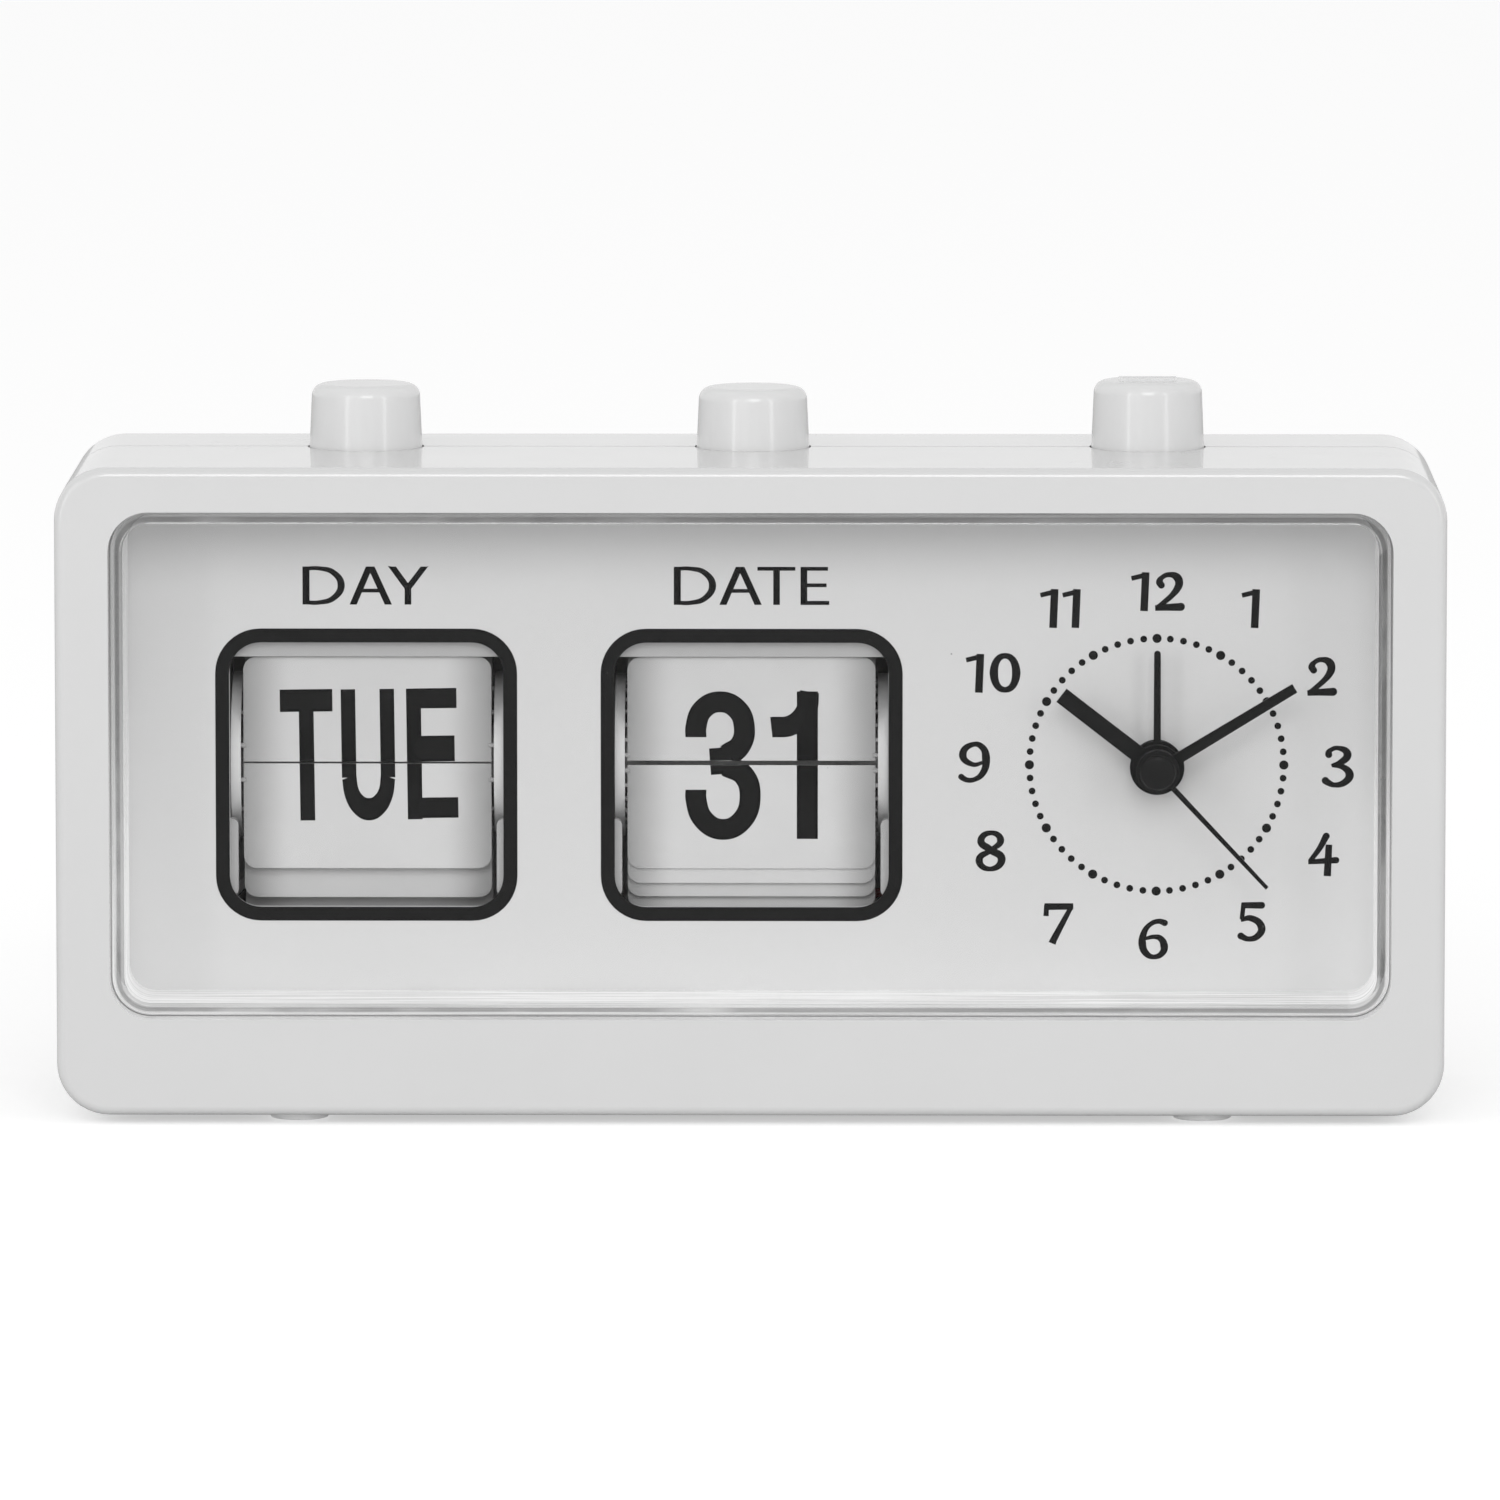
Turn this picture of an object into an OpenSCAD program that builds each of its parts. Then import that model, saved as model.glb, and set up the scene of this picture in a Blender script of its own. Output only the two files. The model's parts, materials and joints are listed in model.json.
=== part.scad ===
// Flip alarm clock: a glossy white case with a clear front, two split-flap calendar drums
// and an analogue alarm movement.
// X runs to the right, Y to the back and Z up. The origin is under the middle of the case, at the feet.

/* [Case] */
// Width of the case
case_w = 180; // [176:1:200]
// Height of the case, without feet and buttons
case_h = 84.4; // [84:0.2:96]
// Depth of the case
case_d = 50; // [49:0.5:60]
// Depth of the front shell, from the front face to the parting line
front_d = 31; // [30:0.5:32]
// Wall of both shells
wall = 2.2; // [1.8:0.1:2.6]
// Corner radius of the case, seen from the front
corner_r = 6.8; // [6:0.1:9]
// Rounding of the front and rear edges
edge_r = 1.2; // [0.6:0.1:1.6]
// Chamfer of both shells along the parting line
seam = 0.4; // [0.2:0.1:0.8]
// Height of the feet
foot_h = 1.2; // [0.8:0.1:2.5]
// Radius of a foot
foot_r = 3.8; // [3:0.1:5]
// Rounding of a foot's lower edge
foot_edge = 0.3; // [0.1:0.1:0.4]
// Distance of a foot from the middle, sideways
foot_x = 58.8; // [40:0.2:68]
// Distance of a foot from the front or rear face
foot_in = 8; // [6:0.5:10]

/* [Front frame and lens] */
// Thickness of the frame round the display
bezel_t = 3.3; // [2.8:0.1:3.6]
// Width of the frame at the sides
bezel_side = 6.95; // [6.5:0.05:9]
// Width of the frame at the top
bezel_top = 5.75; // [5.5:0.05:7]
// Width of the frame at the bottom
bezel_bottom = 12.6; // [11.5:0.1:14]
// Corner radius of the opening
open_r = 5.2; // [4.5:0.1:7]
// How far the lens sits behind the front face
lens_set = 1.5; // [0.8:0.1:2]
// Wall of the lens
lens_t = 1.6; // [1.2:0.1:2]
// Rounding of the lens's front edge
lens_edge = 2; // [0.8:0.1:2.1]
// Flange that holds the lens behind the frame
lens_flange = 2.1; // [1.5:0.1:2.2]

/* [Dial plate] */
// Distance of the dial from the front face
dial_set = 16; // [15.5:0.1:17]
// Thickness of the dial plate
dial_t = 1.2; // [1:0.1:1.5]
// Width of a calendar window
window_w = 35.8; // [35:0.1:37]
// Height of a calendar window
window_h = 34.8; // [34:0.1:36]
// Height of the middle of the calendar windows
window_z = 43.9; // [43:0.1:45]
// Corner radius of a calendar window
window_r = 3.8; // [2:0.1:6]
// Middle of the day window
day_x = -50.2; // [-52:0.1:-48]
// Middle of the date window
date_x = 0; // [-1:0.1:0.5]
// Middle of the round dial, sideways
clock_x = 52.9; // [52:0.1:54]
// Middle of the round dial, upward
clock_z = 45.3; // [44:0.1:46]

/* [Calendar] */
// Height of the drums' axles, where the cards split
drum_z = 45.2; // [44.5:0.1:46]
// Distance of the axles behind the dial plate
drum_set = 11.4; // [11.2:0.1:12]
// Distance of a standing card in front of the axle
card_set = 9.9; // [9.6:0.1:10.1]
// Width of a card
card_w = 32.4; // [31:0.1:32.8]
// Length of a card from the split to its free edge
card_len = 13.9; // [13:0.1:14.2]
// Corner radius of a card's free edge
card_r = 1.7; // [0.5:0.1:2.5]
// Thickness of a card
card_t = 0.15; // [0.1:0.01:0.16]
// Cards on the day drum
day_cards_n = 14; // [14:7:14]
// Cards on the date drum
date_cards_n = 31; // [31:1:31]
// Stroke of the calendar buttons
step_stroke = 1.6; // [1.4:0.1:1.7]
// Radius of an axle
axle_r = 1.5; // [1.2:0.1:2]

/* [Buttons] */
// Radius of a button at the case
button_r = 7.4; // [6.5:0.1:8]
// Radius of a button at its shoulder
button_top_r = 7.1; // [6.2:0.1:7.6]
// Rounding of a button's top edge
button_edge = 1.6; // [0.8:0.1:2.2]
// Height of the day button above the case
day_button_h = 8.3; // [7:0.1:10]
// Height of the date button above the case
date_button_h = 7.9; // [7:0.1:10]
// Height of the alarm button above the case
alarm_button_h = 8.8; // [7:0.1:10]
// Middle of the day button
day_button_x = -50.7; // [-52:0.1:-48]
// Middle of the date button
date_button_x = 0.1; // [-1:0.1:1]
// Middle of the alarm button
alarm_button_x = 51.9; // [50:0.1:54]
// Stroke of the alarm button
alarm_stroke = 1.6; // [1:0.1:1.7]
// Radius of a button stem
stem_r = 2; // [1.6:0.1:2.2]
// Wire radius of a return spring
spring_wire = 0.3; // [0.25:0.01:0.35]
// Coil radius of a return spring, at the middle of its wire
spring_r = 3.9; // [3.8:0.05:4.1]

/* [Hands] */
// Length of the hour hand
hour_len = 15.8; // [12:0.1:16]
// Length of the minute hand
minute_len = 20.8; // [17:0.1:22]
// Length of the second hand
second_len = 20.8; // [17:0.1:22]
// Length of the alarm hand
alarm_len = 15.3; // [10:0.1:16]
// Angle of the hour hand, clockwise from twelve
hour_angle = -52.3; // [-180:0.1:180]
// Angle of the minute hand
minute_angle = 58.7; // [-180:0.1:180]
// Angle of the second hand
second_angle = 136.8; // [-180:0.1:180]
// Angle of the alarm hand
alarm_angle = 0; // [-180:0.1:180]

/* [Movement] */
// Width and height of the movement case
move_w = 52; // [51:0.5:52]
// Depth of the movement case
move_d = 16.8; // [16.5:0.1:19]
// Wall of the movement case
move_wall = 1.2; // [1:0.1:1.3]
// Module of the motion work, pitch diameter over teeth
hand_module = 0.4; // [0.38:0.01:0.41]
// Module of the stepping train
step_module = 0.25; // [0.23:0.01:0.26]
// Radius of a setting knob
knob_r = 5; // [4:0.1:6]

/* [Battery] */
// Radius of the cell
cell_r = 7.1; // [6.5:0.05:7.2]
// Length of the cell
cell_len = 50.5; // [44:0.5:51]
// Middle of the battery bay, sideways
bay_x = -5.5; // [-8:0.5:-3]

/* [Hidden] */
$fn = 64;

// Clearances: pressed seat, running fit, loose fit and free gap
seat = 0.02;
fit = 0.06;
slip = 0.15;
gap = 0.3;
// Extra length that carries a cut past a face
past = 1;

// Colours
white = "whitesmoke";
black = "dimgray";
brass = "goldenrod";
steel = "silver";

// Planes of the case
case_z0 = foot_h;
case_z1 = foot_h + case_h;
case_mid = (case_z0 + case_z1) / 2;
case_front = -case_d / 2;
case_back = case_d / 2;
part_y = case_front + front_d;
bezel_back = case_front + bezel_t;
in_x = case_w / 2 - wall;
in_z0 = case_z0 + wall;
in_z1 = case_z1 - wall;
in_back = case_back - wall;
in_r = corner_r - wall;

// Opening and lens
open_w = case_w - 2 * bezel_side;
open_z0 = case_z0 + bezel_bottom;
open_z1 = case_z1 - bezel_top;
open_h = open_z1 - open_z0;
open_mid = (open_z0 + open_z1) / 2;
lens_front = case_front + lens_set;
lens_w = open_w - 2 * slip;
lens_h = open_h - 2 * slip;
lens_r = open_r - slip;
flange_t = 1.2;
flange_back = bezel_back + flange_t;

// Dial plate and its fixings
dial_front = case_front + dial_set;
dial_back = dial_front + dial_t;
dial_w = 2 * (in_x - 0.8);
dial_z0 = open_z0 - 2.3;
dial_z1 = in_z1 - 0.2;
dial_r = in_r + 0.4;
dial_hole_r = 3.35;
low_screw_x = 60;
low_screw_z = in_z0 + 4.1;
high_screw_x = 26;
high_screw_z = in_z1 - 1.5;
dial_screw_at = [for (side = [-1, 1])
    each [[side * low_screw_x, low_screw_z], [side * high_screw_x, high_screw_z]]];
dial_screw_len = 6;
low_boss_r = 2.6;
high_boss_r = 1.75;
tab_w = 8;

// A small screw: shank, head and pilot
screw_r = 0.8;
screw_head_r = 1.3;
screw_head_h = 1.2;
screw_depth = 0.6;
// Screws and posts that hold the two shells together
post_in = 3.5;
post_r = 3;
post_x = in_x - post_in;
post_zs = [in_z0 + post_in, in_z1 - post_in];
post_split = part_y - 1.8;
case_screw_r = 1.25;
case_head_r = 2.2;
case_head_h = 2;
case_head_y = case_back - 11;
case_screw_len = 17;
case_recess = [2.6, 2, 0.6];
tongue_t = 1;
tongue_d = 1.5;

// Drums and cards
drum_y = dial_back + drum_set;
card_y = drum_y - card_set;
day_step = 360 / day_cards_n;
date_step = 360 / date_cards_n;
day_split = 0.12;
date_split = 0.3;
ear_r = 0.3;
ear_in = 0.3;
disc_gap = 0.35;
disc_t = 1.3;
disc_rim = 0.75;
disc_x0 = card_w / 2 + disc_gap;
disc_x1 = disc_x0 + disc_t;
hub_r = 4;
cheek_x0 = disc_x1 + gap;
cheek_t = 1.5;
cheek_x1 = cheek_x0 + cheek_t;
ratchet_x0 = cheek_x1 + gap;
ratchet_t = 1.2;
ratchet_x1 = ratchet_x0 + ratchet_t;
tooth_h = 0.45;
tooth_part = 0.45;
nose_t = 0.45;
nose_play = 0.12;
bar_t = 1.2;
reach = norm([card_set, card_len]);
function pin_r(step) = card_set / cos(step / 2);
function pin_h(step) = card_set * tan(step / 2);
function ratchet_r(step) = step_stroke / (step * PI / 180);

// Calendar frame
frame_front = dial_back + 1.5;
frame_back = drum_y + 4.4;
bridge_z0 = drum_z + reach + 2.7;
bridge_t = 2;
bridge_z1 = bridge_z0 + bridge_t;
bridge_back = part_y + 4;
leg_z0 = drum_z - 17.5;
leg_d = 3;
lug_t = 1.5;
lug_r = 2.6;
lip_gap = 0.12;
lip_z = drum_z + card_len + lip_gap;
lip_y = dial_back + 0.2;
lip_t = 0.4;
lip_slope = 3.5;
lip_root = 1.5;
guide_x0 = card_w / 2 + 0.7;
guide_x1 = cheek_x0 + cheek_t / 2;
guide_y = [dial_back + 0.5, frame_front + past];
guide_r = 0.9;
disc_r = pin_r(day_step) + disc_rim;
guide_z1 = drum_z - sqrt(pow(disc_r, 2) - pow(drum_y - guide_y[1] - gap, 2)) - 2 * gap;
frame_lugs = [[day_x - cheek_x1 - 3.4, drum_z + 17], [day_x - cheek_x1 - 3.4, leg_z0 + 2.6],
    [(day_x + date_x) / 2, leg_z0 + 2.6], [date_x + cheek_x1 + 3.2, leg_z0 + 2.6]];

// Buttons
button_bore = button_r + 0.25;
flange_r = 8.6;
button_flange_t = 1.2;
button_flange_z = in_z1 - gap - button_flange_t;
cap_wall = 1.5;
crown_t = 1.8;
spring_hub_r = 4.7;
spring_hub_z = case_z1 - 1.6;
stem_z0 = bridge_z0 + 0.2;
arm_z1 = button_flange_z;
arm_t = 1.5;
arm_z0 = arm_z1 - arm_t;
arm_ring_r = 5.2;
arm_w = 6;
switch_w = 9;
switch_d = 6;
switch_h = 6;
switch_z0 = clock_z + move_w / 2;
switch_z1 = switch_z0 + switch_h;
mark_h = 0.3;

// Movement layers, from the dial to the back
move_y0 = dial_back;
move_y1 = move_y0 + move_d;
move_split = move_y0 + 7.8;
move_in = move_w - 2 * move_wall;
alarm_y = [move_y0 + 1.5, move_y0 + 2.4];
hour_y = [move_y0 + 2.8, move_y0 + 3.7];
minute_y = [move_y0 + 4.1, move_y0 + 5.1];
train_y = [move_y0 + 5.5, move_y0 + 6.3];
second_y = [move_y0 + 6.7, move_y0 + 7.3];
step_y = [move_y0 + 8, move_y0 + 8.5];
magnet_y = [move_y0 + 8.9, move_y0 + 10.9];
stator_y = [move_y0 + 9.4, move_y0 + 10.4];
board_y = [move_y0 + 12.3, move_y0 + 13.5];
bush_y = dial_front - 1.4;
alarm_hand_y = dial_front - 2.8;
hour_hand_y = dial_front - 4.5;
minute_hand_y = dial_front - 6.2;
second_hand_y = dial_front - 7.9;
hand_t = 0.6;
hour_w = [2.2, 2.15];
minute_w = [1.5, 1.25];
second_w = [0.75, 0.5];
alarm_w = [0.95, 0.86];
hour_hub = 3.2;
minute_hub = 2.75;
second_hub = 2.85;
alarm_hub = 3.55;
cap_r = 2.42;
cap_dome = 0.8;
cap_y = dial_front - 9.4;

// Nested shafts on the middle of the dial, each with its running clearance
second_r = 0.5;
minute_r = 1.1;
hour_r = 1.9;
alarm_r = 2.7;
bush_r = 3.25;

// Tooth counts
cannon_n = 15;
minute_n = 45;
pinion_n = 12;
hour_n = 48;
knob_n = 15;
alarm_n = 48;
alarm_pinion_n = 16;
second_n = 60;
step_pinion_n = 10;
step_n = 50;
rotor_n = 10;
addendum = 0.6;
dedendum = 0.9;
pressure = 20;
tooth_share = 0.42;

// Directions from one gear to the next, and where each arbor stands
clock = [clock_x, clock_z];
minute_dir = -90;
knob_dir = -20;
alarm_dir = 30;
step_dir = 150;
rotor_dir = 170;
function mesh_gap(n1, n2, m) = (n1 + n2) * m / 2;
function toward(from, dir, length) = from + length * [cos(dir), sin(dir)];
minute_at = toward(clock, minute_dir, mesh_gap(cannon_n, minute_n, hand_module));
knob_at = toward(minute_at, knob_dir, mesh_gap(minute_n, knob_n, hand_module));
alarm_at = toward(clock, alarm_dir, mesh_gap(alarm_n, alarm_pinion_n, hand_module));
step_at = toward(clock, step_dir, mesh_gap(second_n, step_pinion_n, step_module));
rotor_at = toward(step_at, rotor_dir, mesh_gap(step_n, rotor_n, step_module));
arbor_r = 0.6;
fine_r = 0.3;
knob_shaft_r = 1.5;
knob_front = case_back - 5.6;
knob_back = case_back - 0.5;
train_half = move_w / 2 - 4;
train_post = train_half - 2;
move_lug_x = 15;
move_lug_out = move_w / 2 + 2.9;
move_lugs = [[clock_x - move_lug_x, clock_z + move_lug_out], [clock_x + move_lug_out, clock_z],
    [clock_x - move_lug_x, clock_z - move_lug_out]];
magnet_r = 2;
stator_w = 3;
stator_gap = 0.8;
stator_reach = 7;
stator_x = [clock_x - move_in / 2 + stator_gap, rotor_at[0] + stator_reach];
core_up = 17.5;
core_z = clock_z + core_up;
coil_r = 3.2;
board_w = 20;
board_h = 18;
board_x = clock_x - move_in / 2 + 1;
board_z = clock_z - move_in / 2 + 1;
board_post_r = 1.5;

// Battery bay in the rear shell
bay_wall = 1.2;
bay_spring = 5.2;
plate_t = 0.4;
bay_len = cell_len + bay_spring + plate_t + 0.6;
bay_x0 = bay_x - bay_len / 2;
bay_x1 = bay_x + bay_len / 2;
bay_front = part_y + 0.4;
cell_y = in_back - cell_r - 0.7;
cell_z = in_z0 + cell_r + 1.7;
bay_z1 = cell_z + cell_r + 1.7;
door_t = 1.6;
door_w = bay_len - 2;
door_h = 2 * cell_r;
door_lip = 1;
tab_z1 = bay_z1 + bay_wall + 1.6;
tab_half = 1.2;

// Buzzer
buzzer_at = [-60, 17.2];
buzzer_r = 11;
buzzer_y = [in_back - 4.5, in_back - 0.4];
buzzer_ring = 1.2;
sound_hole_r = 0.8;
sound_holes = 8;

// Leads lie on the battery bay and enter the movement from behind
lead_r = 0.6;
lead_z = bay_z1 + bay_wall + lead_r + 0.05;
lead_y = in_back - 2.8;
lead_turn = 14;
plus_hole = [31, 24.5];
minus_hole = [35, 24.5];
buzzer_hole = [39, 27];
plus_route = [[bay_x1, lead_turn, tab_z1 - 0.9], [bay_x1 + 2, lead_turn, tab_z1 - 0.9],
    [plus_hole[0] - 1.5, lead_turn, plus_hole[1]], [plus_hole[0], lead_turn - 1.5, plus_hole[1]],
    [plus_hole[0], board_y[1], plus_hole[1]]];
minus_route = [[bay_x0 + plate_t, lead_y, lead_z], [20, lead_y, lead_z], [24, lead_y - 0.6, lead_z],
    [minus_hole[0] - 1.5, lead_turn + 1.2, minus_hole[1]], [minus_hole[0], lead_turn - 1, minus_hole[1]],
    [minus_hole[0], board_y[1], minus_hole[1]]];
buzzer_route = [[-52, buzzer_y[0], 17], [-52, buzzer_y[0] - 1.6, 17], [-50, buzzer_y[0] - 2.4, 18.4],
    [-38, lead_y - 2.5, lead_z + 0.6], [-30, lead_y - 2.5, lead_z], [8, lead_y - 2.5, lead_z],
    [22, lead_y - 2.5, 26.5], [buzzer_hole[0] - 2, lead_turn + 1, buzzer_hole[1]],
    [buzzer_hole[0], lead_turn - 1, buzzer_hole[1]], [buzzer_hole[0], board_y[1], buzzer_hole[1]]];

// Outline with four round corners, centred
module rounded_rect(w, h, r) {
    square([w - 2 * r, h], center = true);
    square([w, h - 2 * r], center = true);
    for (x = [-1, 1], y = [-1, 1])
        translate([x * (w / 2 - r), y * (h / 2 - r)])
            circle(r);
}

// An outline drawn as seen from the front, given depth from y0 to y1
module plate(y0, y1) {
    translate([0, y1, 0])
        rotate([90, 0, 0])
            linear_extrude(y1 - y0)
                children();
}

// An outline drawn as seen from the right, given width from x0 to x1
module side_plate(x0, x1) {
    translate([x0, 0, 0])
        rotate([90, 0, 90])
            linear_extrude(x1 - x0)
                children();
}

// A box between two corners
module box(a, b) {
    translate(a)
        cube(b - a);
}

// Rods along the three directions
module x_rod(y, z, r, x0, x1) {
    translate([x0, y, z])
        rotate([0, 90, 0])
            cylinder(r = r, h = x1 - x0);
}

module y_rod(at, r, y0, y1) {
    translate([at[0], y1, at[1]])
        rotate([90, 0, 0])
            cylinder(r = r, h = y1 - y0);
}

module z_rod(x, y, r, z0, z1) {
    translate([x, y, z0])
        cylinder(r = r, h = z1 - z0);
}

// Half section of a plate edge, its upper corner rounded by e and its lower one cut off by s
module edge_profile(half, d, e, s) {
    foot = s > 0 ? [[half - s, 0], [half, s]] : [[half, 0]];
    polygon(concat([[0, 0]], foot, [[half, d - e], [0, d - e]]));
    square([half - e, d]);
    translate([half - e, d - e])
        circle(e);
}

// A block that stands on z = 0, with round corners r, its upper rim rounded by e and its lower one cut by s
module rounded_block(w, h, d, r, e, s) {
    translate([r - w / 2, 0, 0])
        rotate([90, 0, 90])
            linear_extrude(w - 2 * r)
                for (side = [0, 1])
                    mirror([side, 0])
                        edge_profile(h / 2, d, e, s);
    rotate([90, 0, 0])
        linear_extrude(h - 2 * r, center = true)
            for (side = [0, 1])
                mirror([side, 0])
                    edge_profile(w / 2, d, e, s);
    for (x = [-1, 1], y = [-1, 1])
        translate([x * (w / 2 - r), y * (h / 2 - r), 0])
            rotate_extrude()
                edge_profile(r, d, e, s);
}

// The inside of the case, from y0 to y1, set in from the inner wall by inset
module cavity(y0, y1, inset) {
    plate(y0, y1)
        translate([0, case_mid])
            rounded_rect(2 * (in_x - inset), in_z1 - in_z0 - 2 * inset, in_r - inset);
}

// Everything that is cut for the buttons along the parting line
module button_bores() {
    for (x = [day_button_x, date_button_x, alarm_button_x])
        z_rod(x, part_y, button_bore, in_z1 - past, case_z1 + past);
}

module foot_sockets(y) {
    for (side = [-1, 1])
        z_rod(side * foot_x, y, foot_r / 2 + seat, case_z0 - past, case_z0 + wall / 2);
}

// Rounded corner post with the web that ties it to the side wall
module corner_posts(y0, y1, web_y0, web_y1) {
    for (side = [-1, 1], z = post_zs) {
        y_rod([side * post_x, z], post_r, y0, y1);
        translate([side * (post_x + (in_x + past - post_x) / 2), (web_y0 + web_y1) / 2, z])
            cube([in_x + past - post_x, web_y1 - web_y0, post_r], center = true);
    }
}

// A short screw whose head rests on head_y and whose shank points to the front
module screw(at, head_y, shank) {
    y_rod(at, screw_head_r, head_y, head_y + screw_head_h);
    y_rod(at, screw_r, head_y - shank, head_y + screw_head_h / 2);
}

// Points round a turning part, radius and angle as seen from the front
function polar(r, a) = r * [cos(a), sin(a)];

// Involute outline with teeth of module m, one tooth centred on angle phase
function involute(a) = (tan(a) - a * PI / 180) * 180 / PI;
function flank(r, base) = r > base ? involute(acos(base / r)) : 0;
function gear_points(n, m, phase) =
    let (pitch = n * m / 2)
    let (base = pitch * cos(pressure))
    let (half = 180 / n * tooth_share + involute(pressure))
    let (radii = [pitch - dedendum * m, pitch, pitch + addendum * m])
    [for (i = [0 : n - 1], side = [-1, 1], k = [0 : 2])
        let (r = radii[side < 0 ? k : 2 - k])
        polar(r, phase + 360 / n * i + side * (half - flank(r, base)))];

// Phase of a second gear that meshes with a first one lying in direction dir from it
function mesh_phase(phase, n1, n2, dir) = dir + 180 + (180 - (phase - dir) * n1) / n2;

module gear(at, n, m, phase, ys) {
    plate(ys[0], ys[1])
        translate(at)
            polygon(gear_points(n, m, phase));
}

// A round tube swept through points, with n sides and a steady reference direction
function unit(v) = v / norm(v);
function tangent(p, i) = unit(p[min(i + 1, len(p) - 1)] - p[max(i - 1, 0)]);
function tube_ring(c, t, r, n, ref) =
    let (u = unit(cross(t, ref)))
    let (v = cross(t, u))
    [for (k = [0 : n - 1]) c + r * (cos(360 * k / n) * u + sin(360 * k / n) * v)];

module tube(p, r, n, ref) {
    last = len(p) - 1;
    points = [for (i = [0 : last]) each tube_ring(p[i], tangent(p, i), r, n, ref)];
    sides = [for (i = [0 : last - 1], k = [0 : n - 1])
        let (a = i * n + k)
        let (b = i * n + (k + 1) % n)
        each [[a, b + n, b], [a, a + n, b + n]]];
    end = last * n;
    caps = [for (k = [1 : n - 2]) each [[0, k, k + 1], [end, end + k + 1, end + k]]];
    polyhedron(points, concat(sides, caps));
}

// A helix about Z, and the least gap between its turns
coil_steps = 8;
wire_sides = 6;
function helix(x, y, r, z0, z1, turns) =
    [for (i = [0 : turns * coil_steps])
        [x + r * cos(360 * i / coil_steps), y + r * sin(360 * i / coil_steps),
            z0 + (z1 - z0) * i / (turns * coil_steps)]];
function coil_gap(p, wire) =
    let (last = len(p) - 1)
    min([for (i = [0 : last], j = [i + coil_steps / 2 : 1 : last]) norm(p[i] - p[j])]) - 2 * wire;

module front_shell() {
    color(white)
        difference() {
            union() {
                difference() {
                    translate([0, part_y, case_mid])
                        rotate([90, 0, 0])
                            rounded_block(case_w, case_h, front_d, corner_r, edge_r, seam);
                    cavity(bezel_back, part_y + past, 0);
                    plate(case_front - past, bezel_back + past)
                        translate([0, open_mid])
                            rounded_rect(open_w, open_h, open_r);
                }
                for (side = [-1, 1]) {
                    y_rod([side * low_screw_x, low_screw_z], low_boss_r, bezel_back - 1, dial_front);
                    y_rod([side * high_screw_x, high_screw_z], high_boss_r, flange_back + gap, dial_front);
                }
                corner_posts(dial_back + 0.6, post_split, dial_back + 0.6, post_split);
            }
            button_bores();
            foot_sockets(case_front + foot_in);
            for (side = [-1, 1], z = post_zs)
                y_rod([side * post_x, z], case_screw_r + seat, case_head_y - case_screw_len - past,
                    part_y + past);
            for (at = dial_screw_at)
                y_rod(at, screw_r + seat, dial_front - dial_screw_len - past, dial_front + past);
        }
}

module rear_shell() {
    color(white)
        difference() {
            union() {
                difference() {
                    translate([0, part_y, case_mid])
                        rotate([-90, 0, 0])
                            rounded_block(case_w, case_h, case_back - part_y, corner_r, edge_r, seam);
                    cavity(part_y - past, in_back, 0);
                }
                difference() {
                    union() {
                        cavity(part_y - tongue_d, part_y + past, slip);
                        cavity(part_y, part_y + 2, -wall / 2);
                    }
                    cavity(part_y - tongue_d - past, part_y + 2 + past, slip + tongue_t);
                    for (x = [day_button_x, date_button_x, alarm_button_x])
                        z_rod(x, part_y, flange_r + 2 * gap, in_z1 - 2 * tongue_t, in_z1);
                }
                corner_posts(post_split + slip, in_back + past, part_y, in_back + past);
                battery_bay();
                y_rod(buzzer_at, buzzer_r + slip + buzzer_ring, buzzer_y[0], in_back + past);
            }
            button_bores();
            foot_sockets(case_back - foot_in);
            for (side = [-1, 1], z = post_zs) {
                y_rod([side * post_x, z], case_screw_r + slip, part_y - 2 * past, case_back);
                y_rod([side * post_x, z], case_head_r + slip, case_head_y, case_back + past);
            }
            y_rod(knob_at, knob_r + 2 * gap, in_back - past, case_back + past);
            y_rod(alarm_at, knob_r + 2 * gap, in_back - past, case_back + past);
            y_rod(buzzer_at, buzzer_r + slip, buzzer_y[0] - past, in_back);
            sound_bores();
            door_opening();
        }
}

// Ring of holes in front of the buzzer
module sound_bores() {
    y_rod(buzzer_at, sound_hole_r, in_back - past, case_back + past);
    for (ring = [1, 2], i = [0 : sound_holes * ring - 1])
        y_rod(buzzer_at + polar(ring * buzzer_r / 3, 360 * i / (sound_holes * ring)), sound_hole_r,
            in_back - past, case_back + past);
}

// Walls round the cell, open toward the door, with slots for the contact tabs
module battery_bay() {
    difference() {
        box([bay_x0 - bay_wall, bay_front, in_z0 - past],
            [bay_x1 + bay_wall, in_back + past, bay_z1 + bay_wall]);
        box([bay_x0, bay_front + bay_wall, in_z0], [bay_x1, in_back + 2 * past, bay_z1]);
        for (slot = [[bay_x0, lead_y], [bay_x1 - 2 * plate_t, lead_turn]])
            box([slot[0], slot[1] - tab_half - slip, bay_z1 - past],
                [slot[0] + 2 * plate_t, slot[1] + tab_half + slip, bay_z1 + bay_wall + past]);
    }
}

module door_opening() {
    translate([bay_x, 0, cell_z]) {
        box([-door_w / 2, case_back - door_t, -door_h / 2], [door_w / 2, case_back + past, door_h / 2]);
        box([door_lip - door_w / 2, in_back - past, door_lip - door_h / 2],
            [door_w / 2 - door_lip, case_back + past, door_h / 2 - door_lip]);
    }
}

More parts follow.
